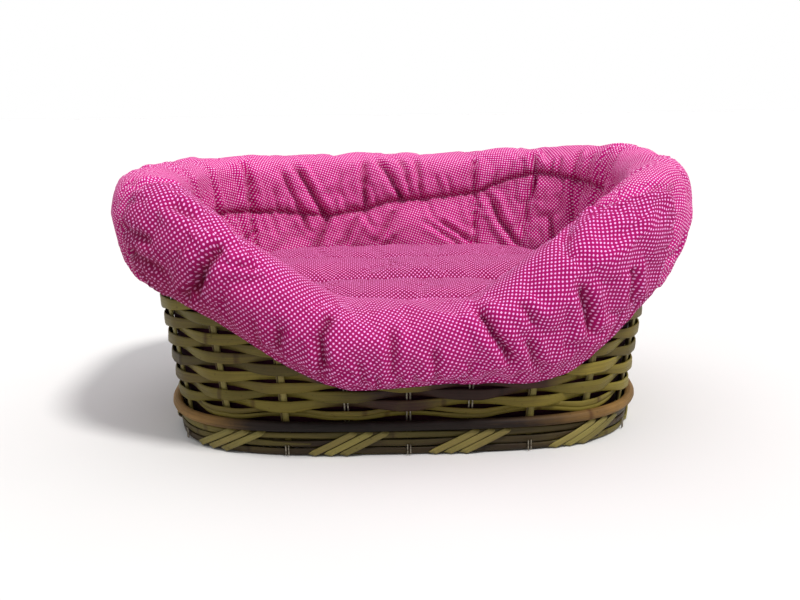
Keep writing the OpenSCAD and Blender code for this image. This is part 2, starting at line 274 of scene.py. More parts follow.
def cane_marks(u, tone, shade, seed, gap=210.0):
    """Colour marks along a strand: tone (0 green, 1 brown), shade (a brightness factor, in places carrying
    painted light and shade), and the cane's joints.
    """
    rng = np.random.default_rng(seed)
    s = (u - u[0]) * PLAN_LENGTH
    joint = np.zeros(len(u))
    at = rng.uniform(20, gap)
    while at < s[-1]:
        joint = np.maximum(joint, bell(s - at, 3.2))
        at += gap * rng.uniform(0.7, 1.4)
    tone = np.broadcast_to(tone, u.shape) + 0.16 * waves(u, seed + 5, 9)
    shade = np.broadcast_to(shade, u.shape) + 0.10 * waves(u, seed + 9, 14)
    return np.stack([np.clip(tone, 0, 1), shade, joint], -1)


# ---------------------------------------------------------------- materials
def material(name):
    m = bpy.data.materials.new(name)
    m.use_nodes = True
    nt = m.node_tree
    nt.nodes.clear()
    out = nt.nodes.new("ShaderNodeOutputMaterial")
    bsdf = nt.nodes.new("ShaderNodeBsdfPrincipled")
    nt.links.new(bsdf.outputs[0], out.inputs[0])
    return m, nt, bsdf


def put(nt, value, socket):
    """Links a socket into another, or sets it to a plain value."""
    if isinstance(value, bpy.types.NodeSocket):
        nt.links.new(value, socket)
    else:
        socket.default_value = value


def node(nt, kind, **values):
    """A shader node: in_NAME or in_NUMBER fills an input, anything else is a setting."""
    n = nt.nodes.new("ShaderNode" + kind)
    for k, v in values.items():
        if k.startswith("in_"):
            key = k[3:]
            put(nt, v, n.inputs[int(key) if key.isdigit() else key.replace("_", " ")])
        else:
            setattr(n, k, v)
    return n


def maths(nt, op, a, b, clamp=False):
    n = node(nt, "Math", operation=op, use_clamp=clamp)
    put(nt, a, n.inputs[0])
    put(nt, b, n.inputs[1])
    return n.outputs[0]


def ramp(nt, value, low, high, to_low=0.0, to_high=1.0):
    return node(nt, "MapRange", in_Value=value, in_1=low, in_2=high, in_3=to_low, in_4=to_high).outputs[0]


def mix(nt, fac, a, b, mode="MIX"):
    n = node(nt, "Mix", data_type="RGBA", blend_type=mode)
    for key, v in ((0, fac), (6, a), (7, b)):
        put(nt, v, n.inputs[key])
    return n.outputs[2]


def tinted(nt, fac, colour, by):
    """The colour, multiplied by another as far as fac says."""
    return mix(nt, fac, colour, mix(nt, 1.0, colour, by + (1,), "MULTIPLY"))


def noise_at(nt, where, scale, detail, stretch=None, **more):
    """A noise texture's factor, over coordinates stretched along their axes."""
    if stretch:
        where = node(nt, "Mapping", in_Vector=where, in_Scale=stretch).outputs[0]
    return node(nt, "TexNoise", in_Vector=where, in_Scale=scale, in_Detail=detail, **more).outputs[0]


def srgb(*rgb):
    return tuple((c / 255 / 12.92) if c <= 10 else ((c / 255 + 0.055) / 1.055) ** 2.4 for c in rgb) + (1,)


def bump(nt, bsdf, height, distance, strength=1.0):
    b = node(nt, "Bump", in_Height=height, in_Distance=distance, in_Strength=strength)
    nt.links.new(b.outputs[0], bsdf.inputs["Normal"])


def woven(nt, where, warp, weft):
    """Threads both ways, each a noise stretched along its own axis."""
    both = maths(nt, "ADD", noise_at(nt, where, 1.0, 1.0, warp), noise_at(nt, where, 1.0, 1.0, weft))
    return maths(nt, "MULTIPLY", both, 0.5)


def vector(nt, op, *inputs, **named):
    n = node(nt, "VectorMath", operation=op, **named)
    for k, v in enumerate(inputs):
        put(nt, v, n.inputs[k])
    return n.outputs["Value" if op == "LENGTH" else "Vector"]


def finish(bsdf, **values):
    for key, v in values.items():
        bsdf.inputs[key.replace("_", " ")].default_value = v


def cane_material(name, green, brown, rough=0.5):
    """Split cane: fibres along the strip, its joints, stains, a tone from the cane attribute, and its shade
    factor, which in places is painted light and shade.
    """
    m, nt, bsdf = material(name)
    uv = node(nt, "UVMap", uv_map="strip").outputs[0]
    where = node(nt, "TexCoord").outputs["Object"]
    marks = node(nt, "Attribute", attribute_name="cane").outputs["Color"]
    tone, shade, joint = node(nt, "SeparateColor", in_Color=marks).outputs
    fibre = noise_at(nt, uv, 1.0, 3.0, (14, 1500, 1), in_Roughness=0.6)
    streak = noise_at(nt, uv, 1.0, 2.0, (5, 240, 1))
    stain = noise_at(nt, where, 22.0, 4.0, in_Roughness=0.65)
    speck = noise_at(nt, where, 260.0, 2.0)
    for uneven in (stain, streak):
        change = maths(nt, "MULTIPLY", maths(nt, "SUBTRACT", uneven, 0.5), 0.5)
        tone = maths(nt, "ADD", tone, change, clamp=True)
    colour = mix(nt, ramp(nt, tone, 0.15, 0.85), green, brown)
    for fac, by in ((ramp(nt, fibre, 0.32, 0.72), (1.6, 1.52, 1.3)),
                    (ramp(nt, streak, 0.34, 0.26, 0.0, 0.7), (0.35, 0.3, 0.25)),
                    (ramp(nt, stain, 0.62, 0.75, 0.0, 0.45), (0.34, 0.24, 0.16)),
                    (ramp(nt, speck, 0.66, 0.74, 0.0, 0.5), (0.3, 0.22, 0.15)),
                    (ramp(nt, joint, 0.25, 0.9, 0.0, 0.75), (0.42, 0.28, 0.18))):
        colour = tinted(nt, fac, colour, by)
    # the shade factor: random brightness, with painted light and shade on parts of the wicker
    grey = node(nt, "CombineColor", in_0=shade, in_1=shade, in_2=shade).outputs[0]
    nt.links.new(mix(nt, 1.0, colour, grey, "MULTIPLY"), bsdf.inputs["Base Color"])
    nt.links.new(ramp(nt, fibre, 0.3, 0.75, rough + 0.12, rough - 0.1), bsdf.inputs["Roughness"])
    finish(bsdf, Specular_IOR_Level=0.22)
    height = maths(nt, "ADD", maths(nt, "MULTIPLY", fibre, 0.6), maths(nt, "MULTIPLY", streak, 0.4))
    height = maths(nt, "ADD", height, maths(nt, "MULTIPLY", joint, 0.9))
    bump(nt, bsdf, height, 0.0006, 0.8)
    return m


def plain_cane(name, low, high):
    """Cane for CAD nodes that have no strip UVs: fibres are long in the plan, short in height."""
    m, nt, bsdf = material(name)
    where = node(nt, "TexCoord").outputs["Object"]
    fibre = noise_at(nt, where, 1.0, 3.0, (40, 700, 900))
    stain = noise_at(nt, where, 18.0, 4.0)
    colour = mix(nt, ramp(nt, stain, 0.3, 0.7), low, high)
    colour = tinted(nt, ramp(nt, fibre, 0.35, 0.7), colour, (1.4, 1.35, 1.2))
    nt.links.new(colour, bsdf.inputs["Base Color"])
    nt.links.new(ramp(nt, fibre, 0.3, 0.7, 0.6, 0.4), bsdf.inputs["Roughness"])
    bump(nt, bsdf, fibre, 0.0005, 0.7)
    return m


def cloth_material(name, pitch, turn, base, dot):
    """Woven cotton with a pin-dot print: a square lattice of dots in cloth UVs, which are in metres.

    A painted shade attribute darkens it in its creases, along seams and under the roll.
    """
    m, nt, bsdf = material(name)
    uv = node(nt, "UVMap", uv_map="cloth").outputs[0]
    where = node(nt, "TexCoord").outputs["Object"]
    lattice = node(nt, "Mapping", in_Vector=uv, in_Rotation=(0, 0, math.radians(turn)),
                   in_Scale=(1 / pitch, 1 / pitch, 1)).outputs[0]
    wobble = node(nt, "TexNoise", in_Vector=lattice, in_Scale=0.9, in_Detail=1.0).outputs[1]
    moved = vector(nt, "ADD", lattice, vector(nt, "SCALE", wobble, in_Scale=0.12))
    middle = vector(nt, "SUBTRACT", vector(nt, "FRACTION", moved), (0.5, 0.5, 0))
    away = vector(nt, "LENGTH", vector(nt, "MULTIPLY", middle, (1, 1, 0)))
    blotch = noise_at(nt, where, 9.0, 3.0)
    weave = woven(nt, uv, (2600, 900, 1), (900, 2600, 1))
    colour = mix(nt, ramp(nt, blotch, 0.3, 0.7), base, mix(nt, 1.0, base, (1.15, 1.2, 1.15, 1), "MULTIPLY"))
    colour = tinted(nt, ramp(nt, weave, 0.35, 0.65, 1.0, 0.0), colour, (0.84, 0.78, 0.84))
    colour = mix(nt, ramp(nt, away, DOT_RADIUS + DOT_BLUR, DOT_RADIUS - DOT_BLUR), colour, dot)
    # painted shade: the colour is darkened where shade would fall, in creases, along seams and under the roll
    painted_shade = node(nt, "Attribute", attribute_name="painted_shade").outputs["Fac"]
    nt.links.new(tinted(nt, painted_shade, colour, (0.22, 0.0, 0.02)), bsdf.inputs["Base Color"])
    finish(bsdf, Roughness=0.86, Specular_IOR_Level=0.2, Sheen_Weight=0.02, Sheen_Roughness=0.45,
           Sheen_Tint=(1.0, 0.7, 0.85, 1))
    height = maths(nt, "ADD", weave, maths(nt, "MULTIPLY", noise_at(nt, where, 70.0, 2.0), 1.6))
    bump(nt, bsdf, height, 0.0009, 0.7)
    return m


def plain_cloth(name, low, high, scale):
    """Plain woven cloth that needs no UVs: threads both ways from the object's own coordinates."""
    m, nt, bsdf = material(name)
    where = node(nt, "TexCoord").outputs["Object"]
    fine, long = 2200 * scale, 500 * scale
    weave = woven(nt, where, (fine, fine, long), (long, long, fine))
    worn = noise_at(nt, where, 14.0, 3.0)
    colour = mix(nt, ramp(nt, weave, 0.35, 0.65), low, high)
    colour = tinted(nt, ramp(nt, worn, 0.45, 0.7, 0.0, 0.4), colour, (0.7, 0.7, 0.7))
    nt.links.new(colour, bsdf.inputs["Base Color"])
    finish(bsdf, Roughness=0.92, Specular_IOR_Level=0.15)
    bump(nt, bsdf, weave, 0.0006, 0.6)
    return m


def wire_material(name):
    m, nt, bsdf = material(name)
    dull = noise_at(nt, node(nt, "TexCoord").outputs["Object"], 420.0, 3.0)
    colour = mix(nt, ramp(nt, dull, 0.4, 0.7), srgb(150, 143, 128), srgb(84, 74, 60))
    nt.links.new(colour, bsdf.inputs["Base Color"])
    nt.links.new(ramp(nt, dull, 0.3, 0.7, 0.35, 0.65), bsdf.inputs["Roughness"])
    finish(bsdf, Metallic=0.8)
    bump(nt, bsdf, dull, 0.0003, 0.5)
    return m


mat_weaver = cane_material("split_cane_weavers", srgb(88, 79, 28), srgb(42, 23, 17))
mat_stake = cane_material("split_cane_stakes", srgb(112, 103, 56), srgb(66, 52, 30))
mat_round = cane_material("round_cane", srgb(124, 95, 52), srgb(30, 16, 8), 0.6)
mat_foot = cane_material("foot_cane", srgb(80, 72, 30), srgb(42, 29, 17))
mat_wrap = cane_material("wrap_cane", srgb(112, 104, 56), srgb(78, 66, 38))
mat_base = plain_cane("base_cane", srgb(78, 68, 36), srgb(104, 92, 54))
mat_wire = wire_material("dull_wire")

# The print's dots: radius and blur in shares of the pitch, then the pitch in metres and the slant in degrees
DOT_RADIUS, DOT_BLUR = 0.24, 0.05
COARSE_PITCH, FINE_PITCH = 0.0039, 0.0032
mat_coarse = cloth_material("pin_dot_cotton_coarse", COARSE_PITCH, 30, srgb(165, 0, 99), srgb(255, 182, 246))
mat_fine = cloth_material("pin_dot_cotton_fine", FINE_PITCH, 28, srgb(198, 0, 126), srgb(255, 212, 252))
mat_cushion = cloth_material("pin_dot_cotton_cushion", FINE_PITCH, 45, srgb(148, 0, 84), srgb(252, 168, 236))
# painted shade: the backing cotton is coloured near black, so that the gaps in the wicker read as shadow
mat_shaded_backing = plain_cloth("backing_cotton_painted_shade", srgb(40, 8, 24), srgb(58, 14, 36), 1.0)
mat_elastic = plain_cloth("braided_elastic", srgb(196, 190, 180), srgb(226, 221, 212), 0.6)

# ---------------------------------------------------------------- the wicker


def row_from(i):
    """Share of the way round, from the middle of the front, at which row i can start."""
    need = (ROW_FIRST_Z + (i - 1) * ROW_PITCH + ROW_H + ROW_BELOW_RIM - RIM_FRONT) / (RIM_BACK - RIM_FRONT)
    if need <= 0:
        return 0.0
    t = 0.5 - math.sin(math.asin(1 - 2 * need) / 3)  # smooth(t) = need
    return float(share_at(SCOOP_START + t * (SCOOP_END - SCOOP_START)))


def wave(u, i):
    """The weave: 1 in front of a stake and -1 behind it, and less deep at the thin wire stays."""
    x = u * STAKES
    v = np.clip(1.12 * np.cos(np.pi * (x + i)), -1, 1)
    near = np.zeros_like(x)
    for s in STAYS:
        d = np.abs((x - s + STAKES / 2) % STAKES - STAKES / 2)
        near = np.maximum(near, smooth(1.5 - d))
    return v, near


# Rows that turn brown in the middle of the front: where, how brown, how far, and how sharply it ends
BROWN_LENGTHS = {2: (-0.02, 0.8, 1.5, 26), 3: (0.03, 0.9, 1.6, 22), 4: (0.055, 0.8, 1.5, 26),
                 5: (-0.01, 0.9, 1.6, 22)}


# The weavers: how far they go in and out, their width and how much more shows in front of a stake
WEAVE_DEPTH = 4.3
STRAND_WIDE, WIDER_IN_FRONT = 9.6, 2.3
STRAND_THICK, THIN_STRAND_THICK = 2.0, 1.9


def weaver_row(i):
    """One course of the wall: between the two sides of the scoop, or right round with its ends lapped."""
    b = Build()
    z = ROW_FIRST_Z + (i - 1) * ROW_PITCH + ROW_H / 2
    start = row_from(i)
    first = (SPLICE_STEP * i) % STAKES
    if start > 0:
        u = np.linspace(start, 1 - start, int((1 - 2 * start) * 520))
        lap_off = 0.0
    else:
        lap = 0.9 / STAKES
        u = np.linspace(first / STAKES - lap, first / STAKES + 1 + lap, 560)
        lap_off = 1.1
    rng = np.random.default_rng(100 + i)
    v, stay = wave(u, i)
    t = (u - u[0]) / (u[-1] - u[0])
    lap = lap_off * lapped(t, 26)
    taper = faded(t, 60, 0.25)
    off = v * (WEAVE_DEPTH - 1.0 * stay) + lap
    z = z + 0.8 * waves(u, 300 + i, 16) + 0.4 * waves(u, 320 + i, 40) - 1.5 * v
    tilt = 5 * waves(u, 340 + i, 24) - 7 * v
    wide = (STRAND_WIDE + WIDER_IN_FRONT * np.maximum(v, 0) + 0.7 * waves(u, 360 + i, 12)) * taper
    tone = rng.uniform(0.02, 0.45)
    shade = rng.uniform(0.62, 1.2)
    side = from_front(u)
    # painted light: the wall's right front is painted lighter, where the light falls on it
    shade = shade * (1.05 + 0.35 * smooth((side - 0.03) * 14) * smooth((0.3 - side) * 8))
    if i in BROWN_LENGTHS:
        at, brown, reach, sharp = BROWN_LENGTHS[i]
        tone = tone + brown * smooth(reach - np.abs(side - at) * sharp)
    elif i % 4 == 3:
        tone = tone + 0.55 * smooth(1.4 - np.abs(side - rng.uniform(-0.4, 0.4)) * 12)
    if i == 1:
        # the lowest row is two thin strands
        for part, (dz, share, seed) in enumerate(((-2.6, 0.5, 11), (2.5, 0.52, 12))):
            marks = cane_marks(u, tone * 0.4 + 0.1 * part, shade * 1.12, seed)
            b.sweep(along_wall(u, z + dz + 0.8 * waves(u, seed, 9), off + 0.4 * part, wide * share,
                               THIN_STRAND_THICK, tilt=tilt), marks=marks)
    else:
        marks = cane_marks(u, tone, shade, 400 + i)
        thick = STRAND_THICK + 0.25 * marks[:, 2]
        b.sweep(along_wall(u, z, off, wide, thick, tilt=tilt), marks=marks)
    o = b.object(f"weaver_row_{i:02d}", mat_weaver)
    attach(o, "basket")
    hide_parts(f"weaver_{i:02d}")


for i in range(1, ROWS + 1):
    weaver_row(i)


def on_stake(i, z, off, side):
    """Points on the wall at stake i, moved along the wall by side."""
    g = np.full(np.shape(z), float(angle_at(i / STAKES)))
    p = wall(g, z, off)
    _, n = plan(g)
    p[..., 0] -= n[..., 1] * side
    p[..., 1] += n[..., 0] * side
    return p


def upright(b, i, z0, z1, width, thick, side, off, tone, shade, seed):
    """A strip that stands at stake i, from z0 to z1, thinner at its top."""
    z = np.linspace(z0, z1, 26)
    mid = on_stake(i, z, off + 0.15 * waves(z / 400, seed, 3), side + 0.3 * waves(z / 300, seed + 1, 4))
    g = float(angle_at(i / STAKES))
    _, n = plan(np.array([g]))
    out = np.array([n[0, 0], n[0, 1], 0.0])
    along = np.array([-n[0, 1], n[0, 0], 0.0])
    taper = np.minimum(1, 0.55 + (z1 - z) / 12)
    rings = rings_of(mid, width * taper[:, None] * along, thick * out[None])
    marks = np.stack([np.clip(tone + 0.2 * waves(z / 500, seed, 5), 0, 1), np.full(z.shape, shade),
                      bell(z - (90 + 37 * (seed % 4)), 3.0)], -1)
    b.sweep(rings, marks=marks)


STAKE_FOOT_Z = 6
b = Build()
for i in range(STAKES):
    if i in STAYS:
        continue
    g = float(angle_at(i / STAKES))
    rng = np.random.default_rng(700 + i)
    top = float(rim_z(g)) + 3
    upright(b, i, STAKE_FOOT_Z, top, width=6.6, thick=2.6, side=0.6, off=0,
            tone=rng.uniform(0.1, 0.5), shade=rng.uniform(0.85, 1.1), seed=700 + i)
    upright(b, i, STAKE_FOOT_Z, top - 6, width=2.0, thick=1.6, side=-3.9, off=0.2,
            tone=rng.uniform(0.5, 0.9), shade=0.8, seed=740 + i)
o = b.object("stakes", mat_stake)
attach(o, "basket")
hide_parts("cane_stakes")

# The thick round cane above the foot, with its ends lapped at the back
u = np.linspace(0.47, 1.53, 560)
t = (u - u[0]) / (u[-1] - u[0])
lap = lapped(t, 18)
thick = WALING_D * (1 - 0.3 * np.abs(lap)) * (1 + 0.03 * waves(u, 31, 18))
side = from_front(u)
middle = np.abs(side)
# tone: browner in the middle of the front and at the back, a stain; shade: painted shade, darker in the
# middle of the front and on the left
tone = 0.3 + 0.7 * smooth(1.25 - middle * 7) + 0.3 * smooth(1.2 - np.abs(middle - 0.5) * 8)
shade = 1.08 - 0.68 * smooth(1.3 - middle * 9) - 0.35 * smooth((0.0 - side) * 12) * smooth(1.6 - middle * 6)
marks = cane_marks(u, np.clip(tone, 0, 1), shade, 33, 260.0)
z, off = WALING_Z + 0.5 * waves(u, 34, 10) + 2.2 * lap, WALING_OFF + 0.2 * waves(u, 35, 12)
b = Build().sweep(along_wall(u, z, off, thick + 0.7 * marks[:, 2], thick + 0.5 * marks[:, 2], circle(14)),
                  marks=marks)
o = b.object("waling_round", mat_round)
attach(o, "basket")
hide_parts("waling_cane")

# Foot border: stacked strips whose ends lap, and groups of three slanting wraps
FOOT_OFF = 5.1
FOOT_STRIP_SHARE = 0.40
FOOT_FIRST_Z, FOOT_PITCH = 4.6, 8.7
FOOT_STRIP_WIDE, FOOT_STRIP_THICK = 7.0, 2.1
for level, (name, node_name) in enumerate((("foot_border_low", "foot_strip_low"),
                                           ("foot_border_mid", "foot_strip_mid"),
                                           ("foot_border_top", "foot_strip_top"))):
    b = Build()
    rng = np.random.default_rng(50 + level)
    for layer in (0, 1):
        at = 0.13 * level + 0.07 * layer
        for k in range(3):
            u = np.linspace(at + k / 3, at + k / 3 + FOOT_STRIP_SHARE, 190)
            t = np.linspace(0, 1, len(u))
            ends = faded(t, 9)
            lap = 1.3 * lapped(t, 7)
            z = (FOOT_FIRST_Z + level * FOOT_PITCH + 0.9 * waves(u, 60 + level * 3 + layer, 12)
                 + (layer - 0.5) * 1.6)
            tone = rng.uniform(0.05, 0.75)
            # painted shade: the strips are darker in the middle of the front, where the roll above shades
            # them
            front = smooth(1.3 - np.abs(from_front(u)) * 9)
            shade = rng.uniform(0.85, 1.15) * (1 - 0.35 * front)
            marks = cane_marks(u, tone, shade, 70 + level * 9 + layer * 3 + k)
            wide = (FOOT_STRIP_WIDE + 0.8 * waves(u, 90 + k + level, 8)) * (0.3 + 0.7 * ends)
            off = FOOT_OFF + (1.3 if layer else -1.2) + 0.5 * lap + 0.5 * waves(u, 96 + level + layer, 14)
            tilt = 6 * waves(u, 80 + k, 10)
            z = np.maximum(z, 0.55 * wide + 0.2)
            b.sweep(along_wall(u, z, off, wide, FOOT_STRIP_THICK, tilt=tilt), marks=marks)
    o = b.object(name, mat_foot)
    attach(o, "basket")
    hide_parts(node_name)

b = Build()
WRAP_HALF, WRAP_STEP = 23.0, 16.0
WRAP_WIDE, WRAP_THICK = 6.7, 1.5
WRAP_MID_Z, WRAP_RISE, WRAP_OFF = 14.2, 11.8, 9.6
for i in range(1, STAKES, 2):
    for k in (-1, 0, 1):
        seed = 900 + i * 3 + k
        rng = np.random.default_rng(seed)
        # path: under the foot, up across the outside, and in over the top
        s = np.linspace(-1.28, 1.28, 44)
        run = np.clip(s, -1, 1) * WRAP_HALF
        u = i / STAKES + (k * WRAP_STEP + run + rng.uniform(-0.6, 0.6)) / PLAN_LENGTH
        z = WRAP_MID_Z + np.clip(s, -1, 1) * WRAP_RISE
        beyond = np.maximum(np.abs(s) - 0.86, 0)
        off = WRAP_OFF + 0.5 * np.cos(s * 3) - 30 * beyond ** 1.35 + 0.35 * (k + 1)
        z = np.clip(z, 1.4, 27)
        mid = wall(angle_at(u), z, off)
        tangent = unit(np.gradient(mid, axis=0))
        _, n2 = plan(angle_at(u))
        out = np.concatenate([n2, np.zeros((len(u), 1))], 1)
        turn = np.clip(beyond * 7, 0, 1.2)[:, None] * np.sign(s)[:, None]
        out = out * np.cos(turn) + np.array([0, 0, 1.0]) * np.sin(turn)
        across = unit(np.cross(tangent, out))
        rings = rings_of(mid, WRAP_WIDE * across, WRAP_THICK * np.cross(across, tangent))
        rings[..., 2] = np.maximum(rings[..., 2], 0.15)
        marks = cane_marks(s * 26 / PLAN_LENGTH, rng.uniform(0.0, 0.5), rng.uniform(0.8, 1.2), seed, 400.0)
        b.sweep(rings, marks=marks)
o = b.object("foot_wrap_strips", mat_wrap)
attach(o, "basket")
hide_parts("foot_wraps")

# Rim hoops and their lashing, hidden by the liner until it is pulled off
for name, node_name, side in (("rim_hoop_outside", "rim_hoop_outer", 1),
                              ("rim_hoop_inside", "rim_hoop_inner", -1)):
    u = np.linspace(0, 1, 420, endpoint=False)
    marks = cane_marks(u, 0.5, 0.95, 120 + side, 230.0)
    z = rim_z(angle_at(u))
    rings = along_wall(u, z, side * RIM_HOOP_OFF, RIM_HOOP_D, RIM_HOOP_D, circle(12))
    b = Build().sweep(rings, closed=True, marks=marks)
    o = b.object(name, mat_round)
    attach(o, "basket")
    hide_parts(node_name)

b = Build()
LASH_WIDE, LASH_STEP = 2.9, 3.1
LASH_REACH, LASH_HEIGHT = 12.6, 5.9
for i in range(STAKES):
    for k in (-1.1, 0, 1.1):
        a = np.linspace(0, 2 * np.pi, 28, endpoint=False)
        g = angle_at((i + 0.5) / STAKES + (k * LASH_STEP + 1.2 * a / np.pi) / PLAN_LENGTH)
        ox, oz = np.cos(a), np.sin(a)
        off = LASH_REACH * np.sign(ox) * np.abs(ox) ** 0.55
        zz = rim_z(g) + LASH_HEIGHT * np.sign(oz) * np.abs(oz) ** 0.8
        mid = wall(g, rim_z(g), off, zz)
        tangent = unit(np.roll(mid, -1, 0) - np.roll(mid, 1, 0))
        _, n2 = plan(g)
        across = np.stack([-n2[:, 1], n2[:, 0], np.zeros(len(a))], -1)
        rings = rings_of(mid, LASH_WIDE * across, np.cross(across, tangent))
        b.sweep(rings, closed=True, marks=cane_marks(a / 50, 0.2, 1.0, 500 + i, 400.0))
o = b.object("rim_lashing_loops", mat_stake)
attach(o, "basket")
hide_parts("rim_lashing")

for n, m in (("base_hoop", mat_base), ("base_runners", mat_base), ("base_slats", mat_base),
             ("wire_stays", mat_wire), ("wire_ties", mat_wire)):
    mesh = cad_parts[n].data
    mesh.materials.clear()
    mesh.materials.append(m)

# ---------------------------------------------------------------- the padded liner


def spline(points, count_per):
    """Catmull-Rom through points (k, ..., d), resampled finely; returns (m, ..., d)."""
    p = np.concatenate([2 * points[:1] - points[1:2], points, 2 * points[-1:] - points[-2:-1]])
    out = []
    t = np.linspace(0, 1, count_per, endpoint=False)
    for i in range(1, len(p) - 2):
        a, b_, c, d = p[i - 1], p[i], p[i + 1], p[i + 2]
        for x in t:
            out.append(0.5 * (2 * b_ + (c - a) * x + (2 * a - 5 * b_ + 4 * c - d) * x * x
                              + (3 * b_ - a - 3 * c + d) * x ** 3))
    out.append(p[-2])
    return np.array(out)


ROLL_HALF = 33.0
ROLL_OUT_FRONT = ROLL_HALF + HALF_D * (grow(RIM_BACK) - grow(RIM_FRONT))
HEM_OFF = 13.5


def mixed(front, back, g):
    return front + (back - front) * scoop(g)


def ease(x, *pairs):
    """Value through (x, y) pairs."""
    xs, ys = zip(*pairs)
    return np.interp(x, xs, ys)


def softened(values, times):
    """A ring of values with its corners rounded off."""
    for _ in range(times):
        values = (np.roll(values, 1) + 2 * values + np.roll(values, -1)) / 4
    return values


# The padding lies unevenly, in mm by share of the way round: the roll stands higher at the right rear,
# and its skirt hangs lower at the right front
EVERY_SHARE = np.arange(720) / 720
SAG = softened(ease(EVERY_SHARE, (0, 4), (0.03, 0), (0.055, 9), (0.08, 33), (0.105, 46), (0.128, 35),
                    (0.155, 14), (0.23, 3), (0.28, 0), (0.80, 0), (0.83, -8), (0.88, -5), (0.92, 6),
                    (0.96, 7), (1, 4)), 20)
LIFT = softened(ease(EVERY_SHARE, (0, 0), (0.12, 0), (0.20, 8), (0.28, 12.5), (0.36, 11), (0.42, 4),
                     (0.47, 0), (1, 0)), 30)


def around(table, g):
    ends = np.arange(len(table) + 1) / len(table)
    return np.interp(share_at(np.mod(g, 360)), ends, np.append(table, table[0]))


def hem_z(g):
    return rim_z(g) - mixed(63, 96, g) - around(SAG, g)


def face_controls(g):
    """The face from the floor, up the inside, over the roll and down to the hem: (z for plan, off, z)."""
    r = rim_z(g)
    h = mixed(27, 35, g) + around(LIFT, g)
    w = mixed(ROLL_OUT_FRONT, ROLL_HALF, g)
    hem = hem_z(g)
    low = hem + 0.36 * (r - 14 - hem)
    one = np.ones_like(r)
    rows = [(LINER_BOTTOM * one, -31 * one, LINER_BOTTOM * one),
            ((LINER_BOTTOM + r - 26) / 2, -31.5 * one, (LINER_BOTTOM + r - 26) / 2),
            (r - 26, -32.5 * one, r - 26),
            (r - 8, -33.5 * one, r - 8),
            (r, -31.5 * one, r + h * 0.45),
            (r, -20 * one, r + h * 0.86),
            (r, mixed(2, 0, g), r + h * 1.0),
            (r, w * 0.48, r + h * 0.9),
            (r, w * 0.86, r + h * 0.52),
            (r, w * 1.0, r + h * 0.02),
            (r, w * 1.0, r - 20),
            (low, w * 0.86, low),
            (hem + 6, HEM_OFF + 2, hem + 6),
            (hem, HEM_OFF - 2.5, hem + 0.5),
            (hem + 5, HEM_OFF - 5.2, hem + 6),
            (hem + 12, HEM_OFF - 5.8, hem + 14)]
    return np.array([np.stack(np.broadcast_arrays(*x), -1) for x in rows])


# The face's grid. Places along the section are given as stations, from 0 at the floor through the quilting
# seam to 87 at the hem; the grid's rows crowd together at the seam.
NU, NV = 480, 100
SEAM_ROW = 46
SEAM_AT, HEM_AT = 40.0, 87.0
CROWD_BELOW, CROWD_ABOVE = 1.35, 1.22
U = np.arange(NU) / NU
G = angle_at(U)
row_number = np.arange(NV)
STATION = np.where(row_number <= SEAM_ROW, SEAM_AT * (1 - np.abs(1 - row_number / SEAM_ROW) ** CROWD_BELOW),
                   SEAM_AT + (HEM_AT - SEAM_AT)
                   * np.maximum((row_number - SEAM_ROW) / (NV - 1 - SEAM_ROW), 0) ** CROWD_ABOVE)


def row_at(station):
    return np.interp(station, STATION, np.arange(NV))


def section_grid(controls, rows, break_share=None):
    """A grid (rows, columns, 3) over a section: even, or at the stations with the seam at break_share."""
    fine = spline(controls, 8)
    pts = wall(np.broadcast_to(G, fine.shape[:2]), fine[..., 0], fine[..., 1], fine[..., 2])
    seg = np.linalg.norm(np.diff(pts, axis=0), axis=-1)
    s = np.concatenate([np.zeros((1, len(G))), np.cumsum(seg, 0)])
    out = np.empty((rows, len(G), 3))
    for c in range(len(G)):
        share = np.linspace(0, 1, rows)
        if break_share is not None:
            share = np.interp(STATION, (0, SEAM_AT, HEM_AT), (0, break_share[c], 1))
        for k in range(3):
            out[:, c, k] = np.interp(share * s[-1, c], s[:, c], pts[:, c, k])
    return out


# The quilting seam inside the back wall: its height above the floor as it goes round
FRONT_SHARE = 0.42
seam_height = ease(U, (0.24, 250), (0.29, 250), (0.33, 254), (0.38, 262), (0.404, 253), (0.435, 234),
                   (0.479, 227), (0.503, 226), (0.526, 214), (0.56, 206), (0.60, 213), (0.65, 217),
                   (0.70, 215), (0.76, 210))
FINE_ROWS = 400
heights = section_grid(face_controls(G), FINE_ROWS)[..., 2]
seam_share = np.argmax(heights > np.minimum(seam_height, heights.max(0) - 8), axis=0) / (FINE_ROWS - 1)
at_back = smooth((U - 0.22) / 0.05) * smooth((0.76 - U) / 0.05)
seam_share = softened(FRONT_SHARE + (seam_share - FRONT_SHARE) * at_back, 6)
face = section_grid(face_controls(G), NV, seam_share)


def slanted(grid, seams):
    """The grid, its columns leaning near each corner seam: (share round, lean, width, stations it takes)."""
    out = grid.copy()
    c = np.arange(NU)
    for r in range(NV):
        shift = sum(lean * (smooth((STATION[r] - 50) / run) * 2 - 1) * NU
                    * bell(from_front(U - share), width)
                    for share, lean, width, run in seams)
        at = c + shift
        lo = np.floor(at).astype(int)
        f = (at - lo)[:, None]
        out[r] = grid[r, lo % NU] * (1 - f) + grid[r, (lo + 1) % NU] * f
    return out


# The two sewn joins between the front cloth and the cloth of the back and sides
RIGHT_SEAM_U, LEFT_SEAM_U = 0.136, 0.846
face = slanted(face, ((RIGHT_SEAM_U, 0.020, 0.045, 14), (LEFT_SEAM_U, -0.010, 0.04, 26)))


def grid_normals(p):
    """Unit normals of a grid (rows, columns, 3) closed along its rows, pointing to the cloth's outside."""
    return unit(np.cross(np.gradient(p, axis=0), np.roll(p, -1, 1) - np.roll(p, 1, 1)))


CLOTH = dict(pin_stiffness=5, use_pressure=True, uniform_pressure_force=2.0, mass=0.3, quality=6,
             tension_stiffness=15, compression_stiffness=15, shear_stiffness=5, bending_stiffness=0.15,
             air_damping=2)


